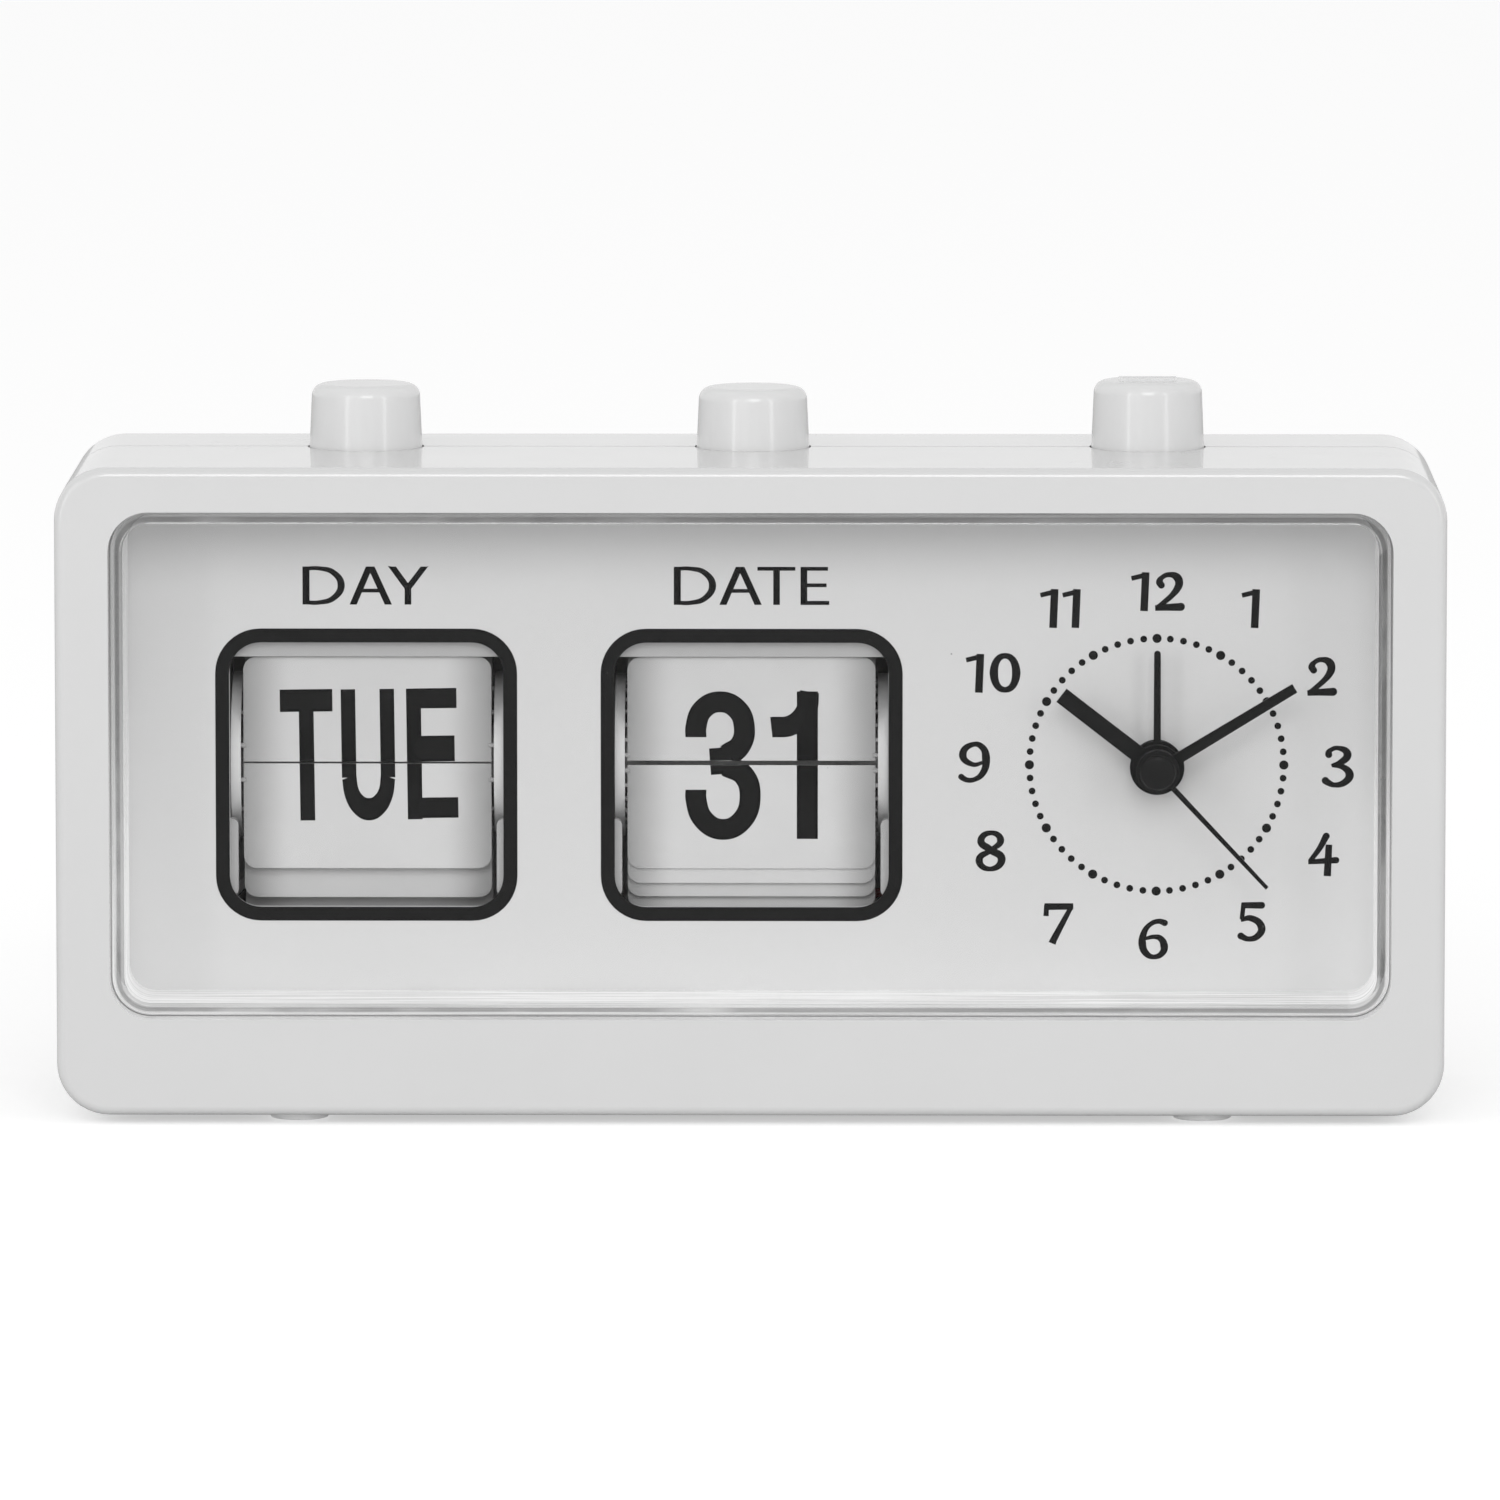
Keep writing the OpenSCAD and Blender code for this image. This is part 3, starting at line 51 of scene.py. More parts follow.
FACE_Y = -9.0                               # front of the dial plate
CARD_Y, CARD_T = -6.3, 0.15                 # middle and thickness of a standing card
DRUM_Y, DRUM_Z = 3.6, 45.2                  # axle of the drums
DAY_X, DATE_X = -50.2, 0.0                  # middle of each drum
DAY_STEP, DATE_STEP = 360 / 14, 360 / 31    # degrees from card to card
DAY_SPLIT, DATE_SPLIT = 0.12, 0.3           # from the axle's height to the cut in the print
CLOCK_X, CLOCK_Z = 52.9, 45.3               # middle of the round dial


def metres(*sizes):
    return tuple(size * MM for size in sizes)


# Finishes

# Sockets of a colour mix node.
MIX_SHARE, MIX_FIRST, MIX_SECOND, MIX_COLOUR = 0, 6, 7, 2
# Where the painted shade toward a card's sides starts and where it is full, from the card's
# middle.
SIDE_SHADE_FROM, SIDE_SHADE_FULL = 9.5, 16.6
# Heights between which the painted glow on the cover's walls fades out.
GLOW_LOW, GLOW_HIGH = 15, 70


class Value:
    """A node's output, which Python expressions turn into Math nodes."""

    def __init__(self, finish, socket):
        self.finish, self.socket = finish, socket

    def math(self, operation, *values):
        return self.finish.node("ShaderNodeMath", {"operation": operation},
                                dict(enumerate(values)))

    def __add__(self, other):
        return self.math("ADD", self, other)

    __radd__ = __add__

    def __sub__(self, other):
        return self.math("SUBTRACT", self, other)

    def __rsub__(self, other):
        return self.math("SUBTRACT", other, self)

    def __mul__(self, other):
        return self.math("MULTIPLY", self, other)

    __rmul__ = __mul__

    def __truediv__(self, other):
        return self.math("DIVIDE", self, other)

    def __pow__(self, other):
        return self.math("POWER", self, other)

    def __abs__(self):
        return self.math("ABSOLUTE", self)

    def under(self, limit):
        return self.math("LESS_THAN", self, limit)

    def least(self, other):
        return self.math("MINIMUM", self, other)

    def most(self, other):
        return self.math("MAXIMUM", self, other)

    def rise(self, low, high):
        """0 below low, 1 above high, and smooth between them."""
        return self.finish.node("ShaderNodeMapRange", {"interpolation_type": "SMOOTHSTEP"},
                                {"Value": self, "From Min": low, "From Max": high})

    def part(self, axis):
        """One coordinate of a vector."""
        return self.finish.node("ShaderNodeSeparateXYZ", None, {0: self}, axis)


class Finish:
    """A procedural material, or the world, built up from nodes."""

    def __init__(self, name, constants=None, owner=None):
        self.owner = owner or bpy.data.materials.new(name)
        self.owner.use_nodes = True
        self.tree = self.owner.node_tree
        self.shader = self.tree.nodes.get("Principled BSDF")
        for socket, value in (constants or {}).items():
            self.shader.inputs[socket].default_value = value
        self.spot = None

    def node(self, kind, settings=None, sockets=None, out=0):
        fresh = self.tree.nodes.new(kind)
        for key, value in (settings or {}).items():
            setattr(fresh, key, value)
        for key, value in (sockets or {}).items():
            self.join(value, fresh.inputs[key])
        return Value(self, fresh.outputs[out])

    def join(self, value, socket):
        if isinstance(value, Value):
            self.tree.links.new(value.socket, socket)
        else:
            socket.default_value = value

    def feed(self, socket, value):
        self.join(value, self.shader.inputs[socket])

    def place(self):
        """Where a point of the piece is, in metres."""
        if self.spot is None:
            self.spot = self.node("ShaderNodeTexCoord", out="Object")
        return self.spot

    def noise(self, size, detail=2.0, rough=0.5, stretch=None):
        """Cloudy values about 0.5, with lumps of that size in millimetres."""
        spot = self.place()
        if stretch:
            spot = self.node("ShaderNodeMapping", None, {"Vector": spot, "Scale": stretch})
        return self.node("ShaderNodeTexNoise", None,
                         {"Vector": spot, "Scale": 1 / (size * MM), "Detail": detail,
                          "Roughness": rough}, "Fac")

    def specks(self, spacing, radius, share):
        """1 inside small scattered dots, which that share of the cells have."""
        cells, draw = (self.node("ShaderNodeTexVoronoi", {"feature": "F1"},
                                 {"Vector": self.place(), "Scale": 1 / (spacing * MM)}, out)
                       for out in ("Distance", "Color"))
        chosen = self.node("ShaderNodeSeparateColor", None, {0: draw}, "Red").under(share)
        return (1 - cells.rise(0.5 * radius / spacing, radius / spacing)) * chosen

    def blend(self, share, first, second):
        """A colour between two, first at share 0 and second at share 1."""
        return self.node("ShaderNodeMix", {"data_type": "RGBA"},
                         {MIX_SHARE: share, MIX_FIRST: first, MIX_SECOND: second}, MIX_COLOUR)

    def bump(self, height, depth, strength):
        """Raises the surface by a height of 0 to 1 times a depth in millimetres."""
        self.feed("Normal", self.node("ShaderNodeBump", None, {
            "Height": height, "Distance": depth * MM, "Strength": strength}))


def grey(level):
    return (level, level, level, 1.0)


def moulded_white(name, level, rough, coat, dust):
    """Injection-moulded white plastic: faint flow clouds, a little dust and a soft skin."""
    finish = Finish(name, {"IOR": 1.49, "Coat Roughness": 0.06})
    clouds = finish.noise(26, detail=3)
    fine = finish.noise(1.6, detail=2)
    scuff = finish.noise(7, detail=4, rough=0.7)
    body = finish.blend(clouds, grey(level * 0.975), grey(level * 1.02))
    if dust:
        specks = finish.specks(spacing=6.5, radius=0.16, share=dust)
        body = finish.blend(specks * 0.75, body, grey(0.12))
    finish.feed("Base Color", body)
    finish.feed("Roughness", rough + 0.09 * (scuff - 0.5))
    finish.feed("Coat Weight", coat + 0.2 * (clouds - 0.5))
    finish.bump(fine, depth=0.02, strength=0.35)
    return finish


def printed_ink():
    """Matt black ink with small pinholes that let the white through."""
    finish = Finish("printed_ink", {"IOR": 1.4, "Specular IOR Level": 0.12})
    patches = finish.noise(1.1, detail=3, rough=0.6)
    holes = finish.specks(spacing=1.9, radius=0.11, share=0.22)
    body = finish.blend(patches, grey(0.008), grey(0.014))
    finish.feed("Base Color", finish.blend(holes * 0.55, body, grey(0.3)))
    finish.feed("Roughness", 0.62 + 0.2 * (patches - 0.5))
    return finish


def flap_card():
    """Thin white card stock, with painted shade toward its two sides and over its upper half."""
    finish = Finish("flap_card", {"IOR": 1.45, "Specular IOR Level": 0.25})
    across = finish.place().part("X")
    side = abs(across - DAY_X * MM).least(abs(across - DATE_X * MM)) / MM
    # Painted shade, full toward the card's two sides.
    side_shade = side.rise(SIDE_SHADE_FROM, SIDE_SHADE_FULL)
    clouds = finish.noise(5, detail=3)
    fibre = finish.noise(0.5, detail=3, rough=0.6)
    specks = finish.specks(spacing=3.2, radius=0.12, share=0.2)
    # Painted shade: the card is darker above the axle, where the top of the window shades it.
    upper = finish.place().part("Z").rise(*metres(DRUM_Z - 1, DRUM_Z + 1))
    body = finish.blend(upper, grey(0.69), grey(0.66))
    # The painted side shade goes into the colour here, with a little random cloudiness mixed in.
    body = finish.blend(side_shade * 0.85 + 0.15 * clouds, body, grey(0.34))
    finish.feed("Base Color", finish.blend(specks * 0.6, body, grey(0.2)))
    finish.feed("Roughness", 0.5 + 0.14 * (fibre - 0.5))
    finish.bump(fibre, depth=0.01, strength=0.4)
    return finish


def satin_black(name, level, rough, shine):
    """Black paint or plastic with a fine grain."""
    finish = Finish(name, {"IOR": 1.5, "Specular IOR Level": shine})
    clouds = finish.noise(3, detail=3)
    grain = finish.noise(0.35, detail=2)
    finish.feed("Base Color", finish.blend(clouds, grey(level * 0.8), grey(level * 1.25)))
    finish.feed("Roughness", rough + 0.16 * (grain - 0.5))
    finish.bump(grain, depth=0.012, strength=0.4)
    return finish


def metal(name, dark, bright, rough, stretch):
    """Metal with fine drawn lines along one direction and small changes of tone."""
    finish = Finish(name, {"Metallic": 1.0})
    lines = finish.noise(0.5, detail=3, rough=0.6, stretch=stretch)
    clouds = finish.noise(6, detail=2)
    finish.feed("Base Color", finish.blend(0.5 * lines + 0.5 * clouds, dark, bright))
    finish.feed("Roughness", rough + 0.2 * (lines - 0.5))
    finish.bump(lines, depth=0.006, strength=0.5)
    return finish


def coloured(name, dark, bright, rough, size, depth):
    """Coloured plastic, lacquer or print, uneven at one size."""
    finish = Finish(name, {"IOR": 1.47})
    lumps = finish.noise(size, detail=3, rough=0.6)
    finish.feed("Base Color", finish.blend(lumps, dark, bright))
    finish.feed("Roughness", rough + 0.15 * (lumps - 0.5))
    finish.bump(lumps, depth, strength=0.5)
    return finish


def pale_rubber():
    """Milky rubber, with a painted glow that lightens the feet where they sit in the case's
    shadow.
    """
    # Painted glow: the emission lights the feet though they are no lamp.
    finish = Finish("foot_rubber", {"IOR": 1.47, "Emission Strength": 0.2})
    lumps = finish.noise(0.6, detail=3, rough=0.6)
    milk = finish.blend(lumps, grey(0.8), grey(0.9))
    finish.feed("Base Color", milk)
    finish.feed("Emission Color", milk)
    finish.feed("Roughness", 0.72 + 0.15 * (lumps - 0.5))
    finish.bump(lumps, depth=0.03, strength=0.5)
    return finish


def clear_cover():
    """Clear moulded cover.

    Its face shines more at a slant. Its walls carry painted refraction streaks and a painted glow,
    stronger low down, and its rounded edge has a painted dark line for the light it bends away.
    """
    finish = Finish("clear_cover", {"IOR": 1.49, "Emission Strength": 1.0})
    normal = finish.node("ShaderNodeNewGeometry", out="Normal")
    facing, side = abs(normal.part("Y")), abs(normal.part("X"))
    wall = 1 - facing.rise(0.3, 0.9)
    patches = finish.noise(24, detail=3, rough=0.6).rise(0.15, 0.55)
    # Painted shade: a dark line on the face's rounded edge, in patches, for the light that edge
    # bends away.
    line = facing.rise(0.6, 0.78) * (1 - facing.rise(0.9, 0.97)) * patches
    smear = finish.noise(14, detail=4, rough=0.65)
    streak = finish.noise(0.8, detail=3, rough=0.65, stretch=(0.03, 1, 0.03)).rise(0.38, 0.62)
    # Where the walls' painted glow is strongest: low down.
    low = 1 - finish.place().part("Z").rise(*metres(GLOW_LOW, GLOW_HIGH))
    # Painted refraction streaks: the walls' colour is a streaked grey that stands for light bent
    # by the clear plastic.
    body = finish.blend(wall, grey(0.97), finish.blend(streak, grey(0.53), grey(0.76)))
    # Painted glow on the walls, in streaks, stronger on the side walls and low down.
    painted_glow = wall * (0.12 + 0.08 * side + 0.27 * low) * (0.72 + 0.38 * streak) * (1 - line)
    # Walls and face, with the painted dark line over them.
    finish.feed("Base Color", finish.blend(line, body, grey(0.16)))
    finish.feed("Emission Color", finish.blend(painted_glow, grey(0.0), grey(1.0)))
    finish.feed("Metallic", (1 - wall) * (1 - line))
    finish.feed("Roughness", 0.03 + 0.06 * (smear - 0.5).most(0.0) + 0.2 * wall)
    slant = finish.node("ShaderNodeLayerWeight", None, {"Blend": 0.5}, "Facing")
    shine = 0.008 + 0.5 * slant ** 5
    solid = (shine + (0.7 - shine) * wall).most(0.6 * line)
    through = finish.node("ShaderNodeBsdfTransparent", None, {"Color": grey(0.995)})
    surface = Value(finish, finish.shader.outputs[0])
    shown = finish.node("ShaderNodeMixShader", None, {0: solid, 1: through, 2: surface})
    finish.join(shown, finish.tree.nodes["Material Output"].inputs[0])
    return finish


FINISHES = {
    "shell_white": moulded_white("case_gloss", level=0.69, rough=0.22, coat=0.75, dust=0.05),
    "dial_white": moulded_white("dial_satin", level=0.69, rough=0.46, coat=0.0, dust=0.04),
    "drum_white": moulded_white("drum_satin", level=0.74, rough=0.42, coat=0.0, dust=0),
    "card_white": flap_card(),
    "lens_clear": clear_cover(),
    "hand_black": satin_black("hand_paint", level=0.006, rough=0.45, shine=0.14),
    "movement_black": satin_black("movement_moulding", level=0.02, rough=0.5, shine=0.35),
    "foot_rubber": pale_rubber(),
    "steel": metal("drawn_steel", grey(0.46), grey(0.66), rough=0.3, stretch=(1, 1, 0.12)),
    "brass": metal("turned_brass", (0.58, 0.4, 0.13, 1), (0.8, 0.6, 0.26, 1),
                   rough=0.28, stretch=(1, 0.15, 1)),
    "copper_wire": metal("coil_copper", (0.42, 0.14, 0.05, 1), (0.66, 0.27, 0.11, 1),
                         rough=0.34, stretch=(6, 0.2, 0.2)),
    "board_green": coloured("board_lacquer", (0.018, 0.12, 0.05, 1), (0.04, 0.2, 0.09, 1),
                            rough=0.36, size=1.5, depth=0.02),
    "lead_red": coloured("lead_jacket", (0.3, 0.02, 0.016, 1), (0.46, 0.035, 0.03, 1),
                         rough=0.46, size=0.9, depth=0.02),
    "cell_blue": coloured("cell_sleeve", (0.02, 0.045, 0.16, 1), (0.04, 0.08, 0.26, 1),
                          rough=0.3, size=4, depth=0.01),
}
# Pieces with a finish of their own in the slot they share.
# Painted light: the buttons' white is brighter than the case's, making up for the shade on their
# sides.
BUTTON = moulded_white("button_lit_gloss", level=0.74, rough=0.24, coat=0.4, dust=0)
OWN = {
    "day_button": BUTTON,
    "date_button": BUTTON,
    "alarm_button": BUTTON,
    # Painted shade: the calendar frame's white is darker than the case's, for the shade it sits in
    # under the window's top.
    "calendar_frame": moulded_white("frame_shaded_satin", level=0.48, rough=0.5, coat=0.0, dust=0),
    "second_hand": satin_black("cap_gloss", level=0.005, rough=0.18, shine=0.22),
}
INK = printed_ink()

for part in frame["record"]["subparts"]:
    mesh = frame["nodes"][part["node"]].data
    mesh.materials.clear()
    mesh.materials.append(OWN.get(part["node"], FINISHES[part["material_slot"]]).owner)


# Modelling helpers

def clear_selection():
    bpy.ops.object.select_all(action="DESELECT")


def take(obj):
    clear_selection()
    obj.select_set(True)
    bpy.context.view_layer.objects.active = obj


def made(name):
    """The object that an operator has just added, under a name."""
    obj = bpy.context.active_object
    obj.name = name
    return obj


def settle(obj):
    """Puts a piece's place, turn and scale into its mesh."""
    take(obj)
    bpy.ops.object.transform_apply(location=True, rotation=True, scale=True)


def select_mesh():
    bpy.ops.mesh.select_all(action="SELECT")


def open_mesh(obj):
    take(obj)
    bpy.ops.object.mode_set(mode="EDIT")
    select_mesh()


def close_mesh():
    bpy.ops.object.mode_set(mode="OBJECT")


def turn_about(obj, degrees, y, z):
    """Turns a piece about a line along X through y and z, in millimetres."""
    turn = Matrix.Rotation(math.radians(degrees), 4, "X")
    centre = Vector(metres(0, y, z))
    obj.rotation_euler = (math.radians(degrees), 0, 0)
    obj.location = centre - turn @ centre
    settle(obj)


def cut_at(obj, z, keep_above):
    """Keeps only what is above, or below, a height in millimetres."""
    open_mesh(obj)
    bpy.ops.mesh.bisect(plane_co=metres(0, 0, z), plane_no=(0, 0, 1), use_fill=True,
                        clear_inner=keep_above, clear_outer=not keep_above)
    close_mesh()


def join(name, objs):
    clear_selection()
    for obj in objs:
        obj.select_set(True)
    bpy.context.view_layer.objects.active = objs[0]
    bpy.ops.object.join()
    objs[0].name = name
    return objs[0]


def dress(obj, body, finish, slot, *nodes):
    obj.data.materials.clear()
    obj.data.materials.append(finish.owner)
    if nodes:
        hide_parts(*nodes)
    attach(obj, body)


# Printed figures and letters, drawn as pen strokes
# A stroke is its kind and its points: across, up and width in millimetres.

ROUND, STRAIGHT, LOOP = "round", "straight", "loop"
# Radius of the pen for a width of 1, and its steps round and along.
PEN, PEN_ROUND, PEN_ALONG = 0.5, 2, 7


def dot(x, z, wide):
    """A round end for a stroke."""
    q = wide / 4
    return LOOP, [(x + q, z, 2 * q), (x, z + q, 2 * q), (x - q, z, 2 * q), (x, z - q, 2 * q)]


# Width, height and strokes of each figure.
DIGITS = {
    "0": (4.08, 5.22, [
        (LOOP, [(2.04, 4.85, .75), (3.5, 2.61, 1.14), (2.04, .37, .75), (.58, 2.61, 1.14)])]),
    "1": (2.45, 5.08, [
        (STRAIGHT, [(1.94, 5.08, 1), (1.74, 0, 1)]),
        (ROUND, [(1.84, 4.7, .66), (.08, 4.27, .62)])]),
    "2": (3.95, 5.12, [
        (ROUND, [(.98, 3.3, .75), (.64, 3.78, .98), (.98, 4.42, .62), (2.02, 4.77, .7),
                 (2.92, 4.4, 1.08), (3.18, 3.68, 1.06), (2.93, 2.93, .95), (2.3, 2.12, .76),
                 (1.4, 1.3, .7), (.38, .52, .55)]),
        (STRAIGHT, [(.06, .4, .74), (1.6, .5, .9), (3.5, .55, 1.06)]),
        dot(3.42, .57, 1.06), dot(.86, 3.4, .92)]),
    "3": (4.29, 5.46, [
        (ROUND, [(1.15, 4.1, .62), (.9, 4.45, .82), (1.3, 4.97, .6), (2.28, 5.18, .62),
                 (3.4, 4.4, 1.1), (2.54, 3.3, .85), (1.32, 2.86, .48)]),
        (ROUND, [(1.5, 2.9, .45), (2.85, 2.68, .78), (3.7, 1.7, 1.12), (3.2, .8, .92),
                 (1.72, .34, .66), (.62, .8, .9)]),
        dot(.97, 4.33, .92), dot(.54, .92, .96)]),
    "4": (4.15, 5.72, [
        (ROUND, [(2.42, 5.3, .9), (1.64, 3.78, .76), (.3, 1.95, .6)]), dot(2.42, 5.26, .92),
        (STRAIGHT, [(.08, 1.86, .62), (3.72, 2.1, .84)]), dot(3.72, 2.1, .86),
        (STRAIGHT, [(2.78, 4.15, .87), (2.58, 0, .97)])]),
    "5": (3.73, 5.26, [
        (STRAIGHT, [(.62, 4.8, .78), (3.2, 4.8, .9)]), dot(3.22, 4.8, .9),
        (STRAIGHT, [(.87, 5.1, .62), (.64, 2.95, .6)]),
        (ROUND, [(.5, 2.85, .5), (1.8, 3.1, .82), (3.22, 1.87, 1.03), (2.72, .75, .86),
                 (1.5, .36, .68), (.62, .68, .85)]),
        dot(.52, .76, .92)]),
    "6": (3.91, 5.33, [
        (ROUND, [(3.4, 4.83, .82), (2.6, 5.02, .66), (1.36, 4.47, .64), (.66, 3.32, .85),
                 (.5, 2.06, 1.02), (.94, .86, .9), (2, .32, .62), (3.17, .9, .85),
                 (3.36, 1.78, 1.03), (2.85, 2.77, .8), (2.07, 2.97, .6), (.85, 2.72, .45)]),
        dot(3.42, 4.8, .85)]),
    "7": (4.01, 5.29, [
        (STRAIGHT, [(.3, 3.6, .7), (.36, 5.1, .62)]),
        (STRAIGHT, [(.1, 4.84, .9), (3.85, 4.87, .84)]),
        (STRAIGHT, [(3.55, 4.75, .62), (1.3, .5, .9), (1.1, 0, .97)])]),
    "8": (3.98, 5.4, [
        (LOOP, [(2.12, 5.08, .63), (.72, 4.07, .96), (1.9, 2.9, .95), (3.44, 1.62, 1.06),
                (1.92, .32, .62), (.5, 1.45, .98), (2.2, 2.9, .6), (3.3, 4.14, .96)])]),
    "9": (4.18, 5.4, [
        (ROUND, [(3.2, 2.66, .45), (1.96, 2.4, .63), (.61, 3.69, 1.02), (2.1, 5.07, .65),
                 (3.22, 4.6, .85), (3.64, 3.3, 1.07), (3.3, 1.38, .87), (2.2, .46, .64),
                 (1.2, .37, .68), (.48, .72, .78)]),
        dot(.42, .78, .8)]),
}
# Gap between the two figures of a number.
FIGURE_GAP, ONES_GAP = 0.67, 0.45
# Middle of each hour figure, from the middle of the dial.
HOURS = {
    "12": (.09, 22.74), "1": (12.19, 20.51), "2": (21.54, 11.62), "3": (23.63, -.23),
    "4": (21.83, -11.75), "5": (12.43, -20.63), "6": (-.34, -22.93), "7": (-12.67, -20.86),
    "8": (-21.64, -11.34), "9": (-23.82, .32), "10": (-21.36, 12.07), "11": (-12.62, 20.51),
}
# Strokes of the captions run past their line at both ends and are cut off there.
CAPITALS = {
    "D": [(STRAIGHT, [(.46, -.2, .92), (.46, 5.2, .92)]),
          (ROUND, [(.46, 4.73, .5), (2.2, 4.73, .54), (4.03, 4.2, .74), (5.05, 2.52, .96),
                   (4.03, .84, .74), (2.2, .27, .56), (.46, .27, .54)])],
    "A": [(STRAIGHT, [(.33, -.3, .86), (2.74, 5.3, .86)]),
          (STRAIGHT, [(2.65, 5.3, .86), (5.19, -.3, .86)]),
          (STRAIGHT, [(1.2, 1.83, .5), (4.3, 1.83, .5)])],
    "Y": [(STRAIGHT, [(.26, 5.3, .81), (2.55, 2.15, .81)]),
          (STRAIGHT, [(4.95, 5.3, .77), (2.55, 2.15, .8)]),
          (STRAIGHT, [(2.55, 2.4, .87), (2.55, -.2, .87)])],
    "T": [(STRAIGHT, [(0, 4.73, .5), (4.95, 4.73, .5)]),
          (STRAIGHT, [(2.5, 4.73, .86), (2.5, -.2, .86)])],
    "E": [(STRAIGHT, [(.44, -.2, .88), (.44, 5.2, .88)]),
          (STRAIGHT, [(.44, 4.73, .5), (3.58, 4.73, .5)]),
          (STRAIGHT, [(.44, 2.57, .5), (3.4, 2.57, .5)]),
          (STRAIGHT, [(.44, .26, .53), (3.75, .26, .53)])],
}
CAPTIONS = [("D", -58.51), ("A", -52.37), ("Y", -47.31),
            ("D", -10.1), ("A", -4.15), ("T", 0.8), ("E", 6.42)]
CAPTION_Z, CAPTION_TALL = 66.25, 4.98
# The day's name has horizontals heavier than its verticals: it is drawn low and then stretched
# upward.
WORD_STRETCH = 1.55
WORD_AT = (-61.45, 37.52)
WORD_TILT = 0.7
TUE = [
    (STRAIGHT, [(0, 10.19, 1.9), (6.87, 10.19, 1.9)]),
    (STRAIGHT, [(3.43, 10.19, 1.93), (3.43, 0, 1.93)]),
    (STRAIGHT, [(8.92, 11.1, 1.9), (8.92, 3.6, 1.9)]),
    (STRAIGHT, [(14, 11.1, 1.9), (14, 3.6, 1.9)]),
    (ROUND, [(8.92, 3.65, 1.9), (9.26, 2.25, 1.9), (10.19, 1.26, 1.9), (11.46, .9, 1.9),
             (12.73, 1.26, 1.9), (13.66, 2.25, 1.9), (14, 3.65, 1.9)]),
    (STRAIGHT, [(17.48, 0, 1.93), (17.48, 11.1, 1.93)]),
    (STRAIGHT, [(17.4, 10.26, 1.7), (23.1, 10.26, 1.7)]),
    (STRAIGHT, [(17.4, 5.99, 2.19), (22.77, 5.99, 2.19)]),
    (STRAIGHT, [(17.4, .97, 1.74), (23.14, .97, 1.74)]),
]
WED = [
    (STRAIGHT, [(0, 11.1, 1.8), (2.2, .2, 1.7)]),
    (STRAIGHT, [(2.2, .2, 1.7), (4.4, 9, 1.6)]),
    (STRAIGHT, [(4.4, 9, 1.6), (6.6, .2, 1.7)]),
    (STRAIGHT, [(6.6, .2, 1.7), (8.8, 11.1, 1.8)]),
    (STRAIGHT, [(11.4, 0, 1.8), (11.4, 11.1, 1.8)]),
    (STRAIGHT, [(11.3, 10.2, 1.7), (15.9, 10.2, 1.7)]),
    (STRAIGHT, [(11.3, 5.9, 2), (15.6, 5.9, 2)]),
    (STRAIGHT, [(11.3, .95, 1.7), (15.9, .95, 1.7)]),
    (STRAIGHT, [(18.4, 0, 1.8), (18.4, 11.1, 1.8)]),
    (ROUND, [(18.4, 10.2, 1.7), (20.2, 10.1, 1.7), (22.2, 8.4, 1.8), (22.7, 5.6, 1.8),
             (22.2, 2.7, 1.8), (20.2, 1, 1.7), (18.4, .9, 1.7)]),
]
THREE = [
    (ROUND, [(-7.25, 48.58, 2.75), (-7.25, 49.9, 2.75), (-6.32, 52.26, 2.75),
             (-4.09, 53.23, 2.75), (-1.87, 52.26, 2.75), (-.93, 49.9, 2.75),
             (-1.43, 47.57, 2.8), (-3.08, 46.19, 3.1)]),
    (STRAIGHT, [(-5.41, 45.35, 3.5), (-2.7, 45.55, 3.5)]),
    (ROUND, [(-3.22, 44.82, 2.9), (-1.02, 43.58, 2.8), (-.17, 40.97, 2.75),
             (-1.21, 37.67, 2.75), (-3.71, 36.44, 2.75), (-6.21, 37.67, 2.75),
             (-7.25, 40.42, 2.75), (-7.25, 41.66, 2.75)]),
]
ONE = [
    (STRAIGHT, [(7.31, 54.6, 2.75), (7.31, 35.2, 2.75)]),
    (ROUND, [(7.6, 54.57, 2.5), (7.2, 52.2, 2.7), (5.3, 50.2, 2.7), (2.6, 49.9, 2.7)]),
]
ONE_ALONE = -5.6     # from its place after the three to its place alone

# Thickness of the ink over its width.
DIAL_FLAT, DAY_FLAT, DATE_FLAT = 0.05, 0.015, 0.012
# Radius of the ring of minute dots, and a dot's thickness, bevel and sides.
DOT_RING, DOT_T, DOT_EDGE, DOT_SIDES = 16.6, 0.06, 0.015, 14
# First minute, count and radius of the dots from one hour to the next.
DOTS = ((0, 1, 0.61), (1, 4, 0.45))
MINUTE_TURN, HOUR_TURN, HOUR_COUNT = 6, 30, 12
# Middle of each window's border, and the size of both.
BORDERS = {"day_border": -50.25, "date_border": 0.05}
BORDER_Z, BORDER_WIDE, BORDER_TALL = 43.9, 39.4, 38.4
BORDER_CORNER, BORDER_STEPS, BORDER_LINE, BORDER_T = 5.9, 10, 1.82, 0.05


def shifted(strokes, across, up):
    return [(kind, [(x + across, z + up, w) for x, z, w in points]) for kind, points in strokes]


